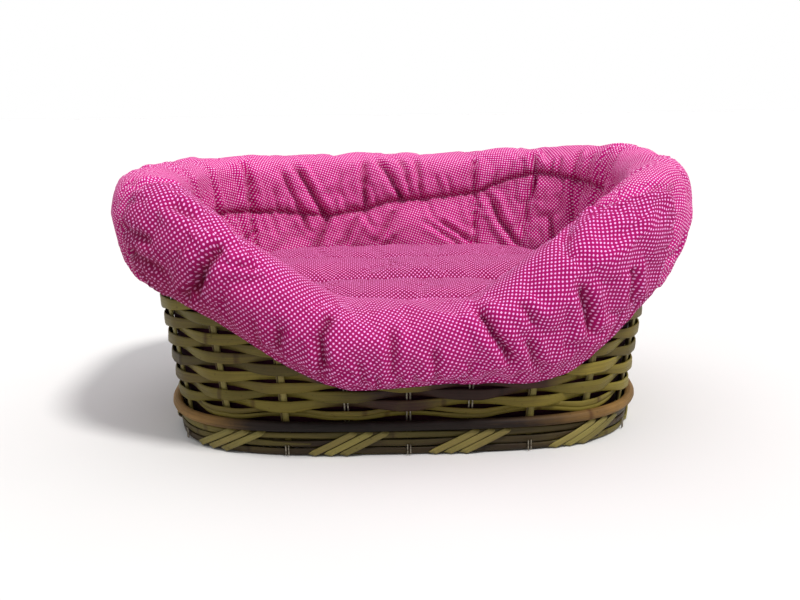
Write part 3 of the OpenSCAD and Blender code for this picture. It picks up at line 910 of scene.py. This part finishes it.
def puff(points, faces, pins, extra, extra_low, extra_high, frames):
    """Blender's cloth on a mesh (metres): pinned where pins is 1, longer by extra, blown up by pressure."""
    mesh = bpy.data.meshes.new("cloth_run")
    mesh.from_pydata(points.tolist(), [], faces.tolist())
    mesh.update()
    o = linked("cloth_run", mesh)
    pin = o.vertex_groups.new(name="pin")
    loose = o.vertex_groups.new(name="loose")
    for level in np.unique(np.round(pins, 2)):
        if level > 0:
            pin.add(np.nonzero(np.round(pins, 2) == level)[0].tolist(), float(level), "REPLACE")
    for level in np.unique(np.round(extra, 1)):
        loose.add(np.nonzero(np.round(extra, 1) == level)[0].tolist(), float(level), "REPLACE")
    mod = o.modifiers.new("cloth", "CLOTH")
    s = mod.settings
    for key, value in CLOTH.items():
        setattr(s, key, value)
    s.vertex_group_mass, s.vertex_group_shrink = "pin", "loose"
    s.shrink_min, s.shrink_max = -extra_low, -extra_high
    s.effector_weights.gravity = 0
    mod.collision_settings.use_collision = False
    mod.point_cache.frame_start, mod.point_cache.frame_end = 1, frames
    scene = bpy.context.scene
    for f in range(1, frames + 1):
        scene.frame_set(f)
    got = o.evaluated_get(bpy.context.evaluated_depsgraph_get()).to_mesh()
    out = np.empty(len(points) * 3, np.float32)
    got.vertices.foreach_get("co", out)
    bpy.data.objects.remove(o)
    bpy.data.meshes.remove(mesh)
    scene.frame_set(1)
    return out.reshape(-1, 3).astype(float)


def grid_faces(rows, cols, closed_u):
    m = cols if closed_u else cols - 1
    r, c = np.meshgrid(np.arange(rows - 1), np.arange(m), indexing="ij")
    c2 = (c + 1) % cols
    return np.stack([r * cols + c, (r + 1) * cols + c, (r + 1) * cols + c2, r * cols + c2], -1).reshape(-1, 4)


def soft_cap(move, limit):
    """The moves, none of them longer than the limit."""
    d = np.linalg.norm(move, axis=-1, keepdims=True)
    return move * (limit * np.tanh(d / limit) / np.maximum(d, 1e-9))


# Where the cloth is stitched down, and how far each stitch pulls in
rows = STATION[:, None]
pins = np.zeros((NV, NU))
pins[0] = 1
pins[-4:] = 1
back_wall = smooth((U - 0.26) / 0.02) * smooth((0.74 - U) / 0.02)
from_seam = np.abs(rows - SEAM_AT)
pull = (4.5 * bell(from_seam, 1.7) + 4.0 * bell(from_seam, 0.5)) * back_wall[None, :]
pins[SEAM_ROW] = np.where(back_wall > 0.5, 1, 0)


def column_of(share):
    return int(round(share * NU)) % NU


# the upright seams: share of the way round, the stations it runs between, and how deep it pulls
for share, r0, r1, depth in ((RIGHT_SEAM_U, 30, 82, 5.5), (LEFT_SEAM_U, 30, 82, 5.5), (0.382, 0, 47, 5.0),
                             (0.436, 0, 49, 4.5), (0.627, 0, 41, 5.0)):
    c = column_of(share)
    inside = (rows >= r0) & (rows <= r1)
    d = np.abs((np.arange(NU)[None, :] - c + NU / 2) % NU - NU / 2)
    pull = np.maximum(pull, np.where(inside, depth * bell(d, 1.3), 0))
    pins[int(row_at(r0)) + 1:int(row_at(r1)), c] = 1

# Folds in the padding: depth and half-width in mm, then the places (share round, station) a fold runs through
FOLDS = (
    # back wall, from the crest down to the seam
    (6, 8, (0.677, 52), (0.676, 46), (0.670, 40)), (7, 8, (0.632, 53), (0.628, 48), (0.625, 40)),
    (5, 7, (0.596, 50), (0.581, 40)), (8, 8, (0.585, 52), (0.570, 45), (0.560, 40)),
    (4, 6, (0.544, 49), (0.555, 40)), (8, 8, (0.526, 53), (0.526, 40)),
    (7, 8, (0.517, 52), (0.503, 45), (0.495, 40)), (5, 6, (0.498, 52), (0.487, 40)),
    (5, 6, (0.484, 51), (0.479, 40)), (4, 7, (0.436, 50), (0.436, 40)), (5, 7, (0.385, 47), (0.381, 40)),
    (4, 8, (0.336, 49), (0.336, 40)), (9, 10, (0.281, 52), (0.285, 44), (0.292, 34)),
    (5, 8, (0.726, 50), (0.716, 40)), (4, 8, (0.31, 50), (0.316, 41)),
    # back wall, from the seam down to the cushion
    (5, 7, (0.531, 39), (0.547, 30)), (7, 8, (0.557, 40), (0.572, 29)), (6, 6, (0.627, 40), (0.632, 27)),
    (6, 7, (0.635, 34), (0.648, 26)), (5, 6, (0.435, 39), (0.432, 26)),
    (7, 8, (0.424, 39), (0.411, 31), (0.388, 23)), (5, 6, (0.466, 34), (0.433, 27)),
    (4, 6, (0.477, 34), (0.445, 27)), (6, 7, (0.380, 39), (0.388, 33), (0.388, 23)),
    (6, 7, (0.362, 31), (0.350, 23)), (6, 7, (0.336, 40), (0.333, 32), (0.326, 23)),
    (5, 7, (0.50, 38), (0.515, 30)), (6, 8, (0.672, 39), (0.68, 28)), (5, 8, (0.70, 39), (0.712, 29)),
    (5, 8, (0.305, 38), (0.30, 26)),
    # rolls at the front's left and right
    (6, 10, (0.865, 61), (0.882, 60)), (11, 12, (0.899, 60), (0.893, 66), (0.883, 78)),
    (5, 6, (0.898, 65), (0.917, 59)), (7, 9, (0.838, 70), (0.866, 70)), (6, 9, (0.838, 75), (0.871, 75)),
    (6, 8, (0.889, 72), (0.874, 81)), (5, 8, (0.856, 77), (0.850, 84)), (5, 9, (0.800, 66), (0.806, 78)),
    (8, 10, (0.089, 63), (0.096, 71), (0.100, 77)), (7, 9, (0.112, 68), (0.118, 78)),
    (5, 9, (0.165, 66), (0.158, 78)),
    # front roll
    (8, 9, (0.957, 56), (0.948, 66), (0.948, 76)), (5, 8, (0.990, 60), (0.990, 74)),
    (5, 8, (0.927, 69), (0.921, 77)), (8, 9, (0.038, 55), (0.049, 65), (0.063, 75)),
    (5, 8, (0.061, 59), (0.071, 67)), (5, 8, (0.067, 69), (0.077, 79)), (4, 7, (0.014, 66), (0.018, 77)),
    (4, 7, (0.969, 68), (0.974, 78)),
    # sides and back, outside
    (6, 9, (0.215, 58), (0.222, 72)), (5, 9, (0.255, 60), (0.248, 76)), (7, 10, (0.300, 57), (0.306, 70)),
    (5, 9, (0.345, 60), (0.340, 77)), (6, 10, (0.395, 58), (0.402, 74)), (5, 9, (0.450, 59), (0.446, 72)),
    (6, 10, (0.505, 57), (0.511, 75)), (5, 9, (0.560, 60), (0.556, 73)), (7, 10, (0.610, 58), (0.617, 76)),
    (5, 9, (0.665, 60), (0.660, 72)), (6, 10, (0.705, 57), (0.712, 75)), (6, 10, (0.755, 58), (0.748, 73)),
)


def on_face(share, station):
    """A point of the face at a share of the way round and a station."""
    c, r_ = (share % 1) * NU, min(max(float(row_at(station)), 0), NV - 1.001)
    c0, r0 = int(c), int(r_)
    fc, fr = c - c0, r_ - r0
    near, far = face[r0], face[r0 + 1]
    a = near[c0 % NU] * (1 - fc) + near[(c0 + 1) % NU] * fc
    b_ = far[c0 % NU] * (1 - fc) + far[(c0 + 1) % NU] * fc
    return a * (1 - fr) + b_ * fr


def add_fold(sink, depth, width, *places):
    """Sinks the cloth along a fold through places, with a soft ridge on each side of it."""
    spots, along = [], []
    for k, ((u0, r0), (u1, r1)) in enumerate(zip(places[:-1], places[1:])):
        for t in np.linspace(0, 1, 14):
            spots.append(on_face(u0 + (u1 - u0) * t, r0 + (r1 - r0) * t))
            along.append((k + t) / (len(places) - 1))
    spots, along = np.array(spots), np.array(along)
    reach = 4.5 * width
    c_mid = np.mean([u for u, _ in places]) * NU
    span = (max(u for u, _ in places) - min(u for u, _ in places)) * NU / 2 + reach / 2.9
    r_lo = int(row_at(max(0, min(r_ for _, r_ in places) - reach / 6)))
    r_hi = int(row_at(min(HEM_AT, max(r_ for _, r_ in places) + reach / 6))) + 1
    cs = np.arange(int(c_mid - span) - 1, int(c_mid + span) + 2) % NU
    block = face[r_lo:r_hi][:, cs]
    d = np.linalg.norm(block[:, :, None] - spots, axis=-1)
    nearest = d.argmin(-1)
    d = d.min(-1)
    t = along[nearest]
    strength = faded(t, 4, 0.25)
    profile = bell(d, 0.5 * width) - 0.42 * bell(d - 1.3 * width, 0.75 * width)
    sink[r_lo:r_hi, cs] += depth * strength * profile


rng = np.random.default_rng(2024)
sink = np.zeros((NV, NU))
for fold in FOLDS:
    add_fold(sink, *fold)
# short puckers either side of the back seam
for k in range(54):
    u0 = 0.265 + 0.47 * (k + rng.uniform(0.1, 0.9)) / 54
    lean = rng.uniform(-0.007, 0.007)
    add_fold(sink, rng.uniform(1.8, 3.6), rng.uniform(4.5, 6.5), (u0, SEAM_AT),
             (u0 + lean, SEAM_AT + rng.choice([-1, 1]) * rng.uniform(3, 7)))
# puckers across the two corner seams
for share, lean in ((RIGHT_SEAM_U, 1), (LEFT_SEAM_U, -1)):
    for r_ in np.arange(34, 84, 3.4):
        side_ = rng.choice([-1, 1])
        add_fold(sink, rng.uniform(1.6, 3.2), rng.uniform(5, 7), (share, r_),
                 (share + side_ * rng.uniform(0.007, 0.013), r_ + rng.uniform(-1.5, 1.5)))
# gathers above the hem
for k in range(96):
    u0 = (k + rng.uniform(0.1, 0.9)) / 96
    add_fold(sink, rng.uniform(1.6, 3.6), rng.uniform(4.5, 7), (u0, 83),
             (u0 + rng.uniform(-0.004, 0.004), 83 - rng.uniform(5, 13)))
lumps = np.array([[3.6 * noise.noise(Vector(p) / 66) + 1.2 * noise.noise(Vector(p) / 27) for p in row]
                  for row in face])
edges = np.clip(np.minimum(rows - 2, 82 - rows) / 5, 0, 1)
sink = np.clip(1.5 * sink - lumps * edges, -5, 17)
# the points along the back seam where folds meet it are pulled in deepest
NODES = (0.672, 0.626, 0.560, 0.528, 0.498, 0.480, 0.436, 0.382, 0.334)
nodes_at = sum(bell(U - u0, 0.006) for u0 in NODES)
pull = pull + 4.0 * bell(from_seam, 3.0) * np.clip(nodes_at, 0, 1)[None, :] * back_wall[None, :]

shape = face - (pull + sink)[..., None] * grid_normals(face)
deep = np.clip(sink / 5, 0, 1)
in_reach = np.clip(np.minimum(rows, HEM_AT - rows) / 6, 0, 1)
thin = 2.5 * (1 - np.clip(pull / 5, 0, 1)) * in_reach * (1 - deep)
start = shape - thin[..., None] * grid_normals(face)
near_seam = bell(from_seam, 9.0) * back_wall[None, :]
extra = np.maximum(near_seam, smooth((rows - 62) / 20))
held = np.maximum(pins, np.where(deep > 0.8, 1.0, 0.0))
swollen = puff(start.reshape(-1, 3) * MM, grid_faces(NV, NU, True), held.ravel(), extra.ravel(),
               extra_low=0.03, extra_high=0.11, frames=20).reshape(NV, NU, 3) / MM
shape = start + soft_cap(swollen - start, SWELL_MOST)

# painted shade: how much darker the cloth is painted in its creases, along the seams and under the roll, most
# of all on the left
shaded_left = bell(U - 0.87, 0.075)
under = smooth((rows - 56) / 24) * (0.16 + 0.42 * shaded_left)[None, :]
seam_shade = bell(from_seam, 1.4) * back_wall[None, :]
painted_shade = np.clip(0.45 * np.clip(sink / 10, 0, 1) + 0.4 * seam_shade + under, 0, 0.8)

# the cloth's inside, which lies over the rim
r = rim_z(G)
hem = hem_z(G)
one = np.ones(NU)
pocket_rows = [(LINER_BOTTOM, -6, LINER_BOTTOM), (r - 26, -8, r - 26), (r - 13, -15, r - 13), (r, -15, r + 7),
               (r, -7.5, r + 11), (r, 7.5, r + 11), (r, 15, r + 7), (r, 15, r - 14),
               (hem + 0.36 * (r - 14 - hem), 9.8, hem + 0.36 * (r - 14 - hem))]
pocket = np.array([wall(G, a * one, b_ * one, c_ * one) for a, b_, c_ in pocket_rows])


def unwrap(grid, cut_cols):
    """Flattens a cut-out of the grid with the least stretch; returns cloth UVs in metres for it."""
    sub_r = np.unique(np.concatenate([np.arange(0, NV, 4), [NV - 1]]))
    step = 4
    sub_c = np.unique(np.concatenate([np.arange(0, len(cut_cols), step), [len(cut_cols) - 1]]))
    p = grid[np.ix_(sub_r, np.array(cut_cols)[sub_c])]
    rr, cc = p.shape[:2]
    mesh = bpy.data.meshes.new("flat")
    mesh.from_pydata((p.reshape(-1, 3) * MM).tolist(), [], grid_faces(rr, cc, False).tolist())
    o = linked("flat", mesh)
    bpy.context.view_layer.objects.active = o
    o.select_set(True)
    mesh.uv_layers.new(name="flat")
    bpy.ops.object.mode_set(mode="EDIT")
    bpy.ops.mesh.select_all(action="SELECT")
    bpy.ops.uv.unwrap(method="MINIMUM_STRETCH", iterations=60, margin=0.0)
    bpy.ops.object.mode_set(mode="OBJECT")
    uv = np.empty(len(mesh.loops) * 2, np.float32)
    mesh.uv_layers[0].data.foreach_get("uv", uv)
    loop_v = np.empty(len(mesh.loops), np.int32)
    mesh.loops.foreach_get("vertex_index", loop_v)
    flat = np.zeros((rr * cc, 2))
    flat[loop_v] = uv.reshape(-1, 2)
    flat = flat.reshape(rr, cc, 2)
    bpy.data.objects.remove(o)
    bpy.data.meshes.remove(mesh)
    real = np.linalg.norm(np.diff(p, axis=1), axis=-1).sum() * MM
    size = np.linalg.norm(np.diff(flat, axis=1), axis=-1).sum()
    flat *= real / size
    mid_r, mid_c = rr // 2, cc // 2
    d = flat[mid_r, mid_c + 1] - flat[mid_r, mid_c - 1]
    a = -math.atan2(d[1], d[0])
    flat = flat @ np.array([[math.cos(a), math.sin(a)], [-math.sin(a), math.cos(a)]])
    full = np.empty((NV, len(cut_cols), 2))
    part = np.empty((rr, len(cut_cols), 2))
    for k in range(2):
        for x in range(rr):
            part[x, :, k] = np.interp(np.arange(len(cut_cols)), sub_c, flat[x, :, k])
        for y in range(len(cut_cols)):
            full[:, y, k] = np.interp(np.arange(NV), sub_r, part[:, y, k])
    return full


def liner_panel(name, cut_cols, cloth, joins=()):
    """One closed, padded panel: its face, its inside and its two sewn ends; the print breaks at each join."""
    n = len(cut_cols)
    outer = shape[:, cut_cols]
    inner = pocket[::-1][:, cut_cols]
    breaks = [0] + [cut_cols.index(column_of(share)) for share in joins] + [n - 1]
    # cloth UVs for each face's own column and for the next one, cut out island by island
    uv_near, uv_far = np.zeros((2, NV, n, 2))
    for k, (lo, hi) in enumerate(zip(breaks[:-1], breaks[1:])):
        island = unwrap(face, cut_cols[lo:hi + 1])
        uv_near[:, lo:hi] = island[:, :-1] + 0.0017 * k
        uv_far[:, lo:hi] = island[:, 1:] + 0.0017 * k
    loop = np.concatenate([outer, inner])
    rows_all = len(loop)
    faces = []
    uvs = []
    inside_uv = np.stack(np.broadcast_arrays(np.linspace(0, n * 0.0045, n)[None, :],
                                             np.linspace(0, 0.4, len(inner))[:, None]), -1)
    uv_near = np.concatenate([uv_near, inside_uv])
    uv_far = np.concatenate([uv_far, np.roll(inside_uv, -1, 1)])
    mats = []
    for r_ in range(rows_all):
        r2 = (r_ + 1) % rows_all
        for c_ in range(n - 1):
            faces.append((r_ * n + c_, r2 * n + c_, r2 * n + c_ + 1, r_ * n + c_ + 1))
            uvs += [uv_near[r_, c_], uv_near[r2, c_], uv_far[r2, c_], uv_far[r_, c_]]
            mats.append(0 if r_ < NV - 1 else 1)
    for end in (0, n - 1):
        cap = [r_ * n + end for r_ in range(rows_all)]
        faces.append(cap if end == 0 else cap[::-1])
        uvs += [(0.0, 0.001 * k) for k in range(rows_all)]
        mats.append(1)
    mesh = bpy.data.meshes.new(name)
    mesh.from_pydata((loop.reshape(-1, 3) * MM).tolist(), [], faces)
    layer = mesh.uv_layers.new(name="cloth")
    layer.data.foreach_set("uv", np.array(uvs, np.float32).ravel())
    mesh.materials.append(cloth)
    mesh.materials.append(mat_shaded_backing)
    mesh.polygons.foreach_set("material_index", mats)
    # painted shade on the face; the inside has none
    painted_shade_values = np.concatenate([painted_shade[:, cut_cols], np.zeros((len(inner), n))])
    mesh.attributes.new("painted_shade", "FLOAT", "POINT").data.foreach_set("value", painted_shade_values.astype(np.float32).ravel())
    return add_mesh(name, mesh)


right_c, left_c = column_of(RIGHT_SEAM_U), column_of(LEFT_SEAM_U)
front_cols = list(range(left_c, NU)) + list(range(0, right_c + 1))
back_cols = list(range(right_c, left_c + 1))
front_panel = liner_panel("liner_front_cloth", front_cols, mat_coarse)
back_panel = liner_panel("liner_back_cloth", back_cols, mat_fine, (0.25, 0.382, 0.436, 0.627, 0.75))
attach(front_panel, "liner")
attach(back_panel, "liner")
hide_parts("liner_face", "liner_wadding", "liner_skirt")
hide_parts("liner_backing")

# ---------------------------------------------------------------- the cushion
CU, CV = 140, 91
s_ = np.linspace(-1, 1, CU)
t_ = np.linspace(-1, 1, CV)
S, T = np.meshgrid(s_, t_)
norm = (np.abs(S) ** SQUARENESS + np.abs(T) ** SQUARENESS) ** (1 / SQUARENESS)
size = np.maximum(np.abs(S), np.abs(T)) / np.maximum(norm, 1e-9)
half_x = HALF_W * grow(CUSHION_Z) + CUSHION_OFF
half_y = HALF_D * grow(CUSHION_Z) + CUSHION_OFF
X, Y = S * size * half_x, T * size * half_y
edge = 1 - np.maximum(np.abs(S), np.abs(T))
dome = np.sqrt(np.clip(1 - (1 - np.clip(edge / 0.30, 0, 1)) ** 3, 0, 1))
Z = CUSHION_SIDE + (CUSHION_CROWN - CUSHION_SIDE) * dome * (0.76 + 0.24 * smooth((T + 0.9) / 1.3))
even_top = np.stack([X, Y, Z], -1)
CHANNELS = 3
inside = smooth(edge * 8)
from_channel = np.min([np.abs(Y - half_y * (2 * k / CHANNELS - 1)) for k in range(1, CHANNELS)], 0)
rng = np.random.default_rng(77)
Z = Z - (9.0 * bell(from_channel, 12) + 4.5 * bell(from_channel, 4)) * inside
Z += inside * np.array([[1.8 * noise.noise(Vector((x / 60, y / 22, 3.0)))
                         + 0.8 * noise.noise(Vector((x / 18, y / 9, 7.0)))
                         for x, y in zip(xs, ys)] for xs, ys in zip(X, Y)])
top = np.stack([X, Y, Z], -1)
held = np.where((edge < 0.001) | (from_channel < 0.6 * half_y / CV * 2), 1.0, 0.0)
loose = bell(from_channel, 22) + bell(edge, 0.15)
swollen = puff(top.reshape(-1, 3) * MM, grid_faces(CV, CU, False)[:, ::-1], held.ravel(),
               np.clip(loose, 0, 1).ravel(), extra_low=0.02, extra_high=0.08,
               frames=16).reshape(CV, CU, 3) / MM
top = top + soft_cap(swollen - top, CUSHION_SWELL_MOST)


def run_length(p, axis):
    """Distance over the surface from the grid's middle, along one of its axes."""
    step = np.linalg.norm(np.diff(p, axis=axis), axis=-1)
    s = np.concatenate([np.zeros_like(np.take(step, [0], axis)), np.cumsum(step, axis)], axis)
    return s - np.take(s, [p.shape[axis] // 2], axis)


def cushion():
    n = CU * CV
    pts = top.reshape(-1, 3)
    ring = ([(0, c) for c in range(CU)] + [(r_, CU - 1) for r_ in range(1, CV)]
            + [(CV - 1, c) for c in range(CU - 2, -1, -1)] + [(r_, 0) for r_ in range(CV - 2, 0, -1)])
    ids = [r_ * CU + c for r_, c in ring]
    faces = [list(reversed(f)) for f in grid_faces(CV, CU, False).tolist()]
    uvp = list(zip((run_length(even_top, 1) * MM).ravel(), (run_length(even_top, 0) * MM).ravel()))
    verts = pts.tolist()
    last = ids
    levels = [(108, 3.0), (92, 4.5), (70, 4.0), (48, 2.0), (32, -2.0), (CUSHION_Z + 0.3, -10.0)]
    for z, out in levels:
        drop = CUSHION_SIDE - z
        new = []
        for k in ids:
            p = np.array(pts[k])
            d = p[:2] / np.linalg.norm(p[:2])
            verts.append([p[0] + d[0] * (out - 4), p[1] + d[1] * (out - 4), z])
            uvp.append((uvp[k][0] + d[0] * drop * MM, uvp[k][1] + d[1] * drop * MM))
            new.append(len(verts) - 1)
        m = len(ids)
        for k in range(m):
            k2 = (k + 1) % m
            faces.append([last[k], new[k], new[k2], last[k2]])
        last = new
    faces.append(list(reversed(last)))
    mesh = bpy.data.meshes.new("channel_cushion")
    mesh.from_pydata((np.array(verts) * MM).tolist(), [], faces)
    layer = mesh.uv_layers.new(name="cloth")
    uvs = np.array([uvp[k] for f in faces for k in f], np.float32)
    layer.data.foreach_set("uv", uvs.ravel())
    mesh.materials.append(mat_cushion)
    painted_shade_values = np.zeros(len(verts), np.float32)
    # painted shade: the cushion is darker along its channel seams
    painted_shade_values[:n] = 0.45 * (bell(from_channel, 3.5) * inside).ravel()
    mesh.attributes.new("painted_shade", "FLOAT", "POINT").data.foreach_set("value", painted_shade_values)
    return add_mesh("channel_cushion", mesh)


o = cushion()
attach(o, "cushion")
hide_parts("cushion_top_cover", "cushion_filling", "cushion_base_cover")

# The liner's sewn floor cloth under the cushion, and the elastic that gathers its hem
FLOOR_CLOTH_Z, FLOOR_CLOTH_T, FLOOR_CLOTH_OFF = 18.0, 2.4, -8.0
u = np.linspace(0, 1, 192, endpoint=False)
edge_line = wall(angle_at(u), np.full(192, FLOOR_CLOTH_Z), FLOOR_CLOTH_OFF)
b = Build()
rings = []
shares = [k / 14 for k in range(1, 15)]
for share, up_ in [(x, 1) for x in shares] + [(1.0, 0.5)] + [(x, 0) for x in shares[::-1]]:
    ring = edge_line * [share, share, 1]
    ring[:, 2] = FLOOR_CLOTH_Z + FLOOR_CLOTH_T * up_
    if up_ == 1:
        ring[:, 2] -= 0.4 + 0.4 * np.sin(ring[:, 0] / 9) * np.sin(ring[:, 1] / 9)
    rings.append(ring)
o = b.sweep(np.array(rings)).object("liner_floor_cloth", mat_shaded_backing)
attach(o, "liner")
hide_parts("liner_floor")

u = np.linspace(0, 1, 900, endpoint=False)
ruche = np.sin(2 * np.pi * 150 * u)
ELASTIC_WIDE, ELASTIC_THICK = 7.4, 0.8
z, off = hem_z(angle_at(u)) + 6.0 + 0.5 * ruche, 6.85 + 0.2 * ruche
b = Build().sweep(along_wall(u, z, off, ELASTIC_WIDE, ELASTIC_THICK), closed=True)
o = b.object("hem_elastic_band", mat_elastic)
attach(o, "liner")
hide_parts("hem_elastic")

# ---------------------------------------------------------------- floor, light and camera
FLOOR_HALF, FLOOR_CELLS = 60.0, 12
ticks = np.linspace(-FLOOR_HALF, FLOOR_HALF, FLOOR_CELLS + 1)
mesh = bpy.data.meshes.new("floor")
mesh.from_pydata([(x, y, 0) for y in ticks for x in ticks], [],
                 grid_faces(FLOOR_CELLS + 1, FLOOR_CELLS + 1, False)[:, ::-1].tolist())
floor = linked("floor", mesh)
m, nt, bsdf = material("pale_floor")
grain = noise_at(nt, node(nt, "TexCoord").outputs["Object"], 3.0, 2.0)
nt.links.new(mix(nt, grain, srgb(216, 216, 216), srgb(222, 222, 222)), bsdf.inputs["Base Color"])
finish(bsdf, Roughness=0.9, Specular_IOR_Level=0.1)
mesh.materials.append(m)

SKY_BAND, SKY_LOW, SKY_TOP = 1.0, 0.33, 0.75
world = bpy.data.worlds.new("studio")
bpy.context.scene.world = world
world.use_nodes = True
# A bright soft ceiling, dimmer walls and a pale band at the horizon
sky = world.node_tree
height_of = node(sky, "SeparateXYZ", in_0=node(sky, "TexCoord").outputs["Generated"]).outputs[2]
band = ramp(sky, height_of, 0.14, 0.24, SKY_BAND, SKY_LOW)
ceiling = ramp(sky, height_of, 0.5, 0.72, 0.0, SKY_TOP)
level = maths(sky, "ADD", band, ceiling)
sky.links.new(level, sky.nodes["Background"].inputs[1])
sky.nodes["Background"].inputs[0].default_value = (1.0, 1.0, 1.0, 1)


def sun(name, towards, strength, softness, colour):
    """A far, soft light that shines from the direction towards."""
    light = bpy.data.lights.new(name, "SUN")
    light.energy, light.angle, light.color = strength, math.radians(softness), colour
    o = linked(name, light)
    o.rotation_mode = "QUATERNION"
    o.rotation_quaternion = Vector(towards).to_track_quat("Z", "Y")


sun("key", (0.50, -0.55, 1.15), 2.5, 10, (1.0, 0.98, 0.95))

CAM_AZ, CAM_EL, CAM_DIST, CAM_ROLL = -1.68, 11.9, 1.0852, -0.714
CAM_AIM = Vector((-0.0019, 0.0, 0.1232))
LENS_MM, SENSOR_MM = 40.5, 36.0
az, el, roll = (math.radians(x) for x in (CAM_AZ, CAM_EL, CAM_ROLL))
back = Vector((math.sin(az) * math.cos(el), -math.cos(az) * math.cos(el), math.sin(el)))
right = (-back).cross(Vector((0, 0, 1))).normalized()
up = right.cross(-back)
right, up = right * math.cos(roll) + up * math.sin(roll), up * math.cos(roll) - right * math.sin(roll)
cam_data = bpy.data.cameras.new("camera")
cam_data.lens, cam_data.sensor_width = LENS_MM, SENSOR_MM
cam = linked("camera", cam_data)
turned = Matrix((right, up, back)).transposed().to_4x4()
cam.matrix_world = Matrix.Translation(CAM_AIM + CAM_DIST * back) @ turned
bpy.context.scene.camera = cam
bpy.context.scene.view_settings.view_transform = "Standard"
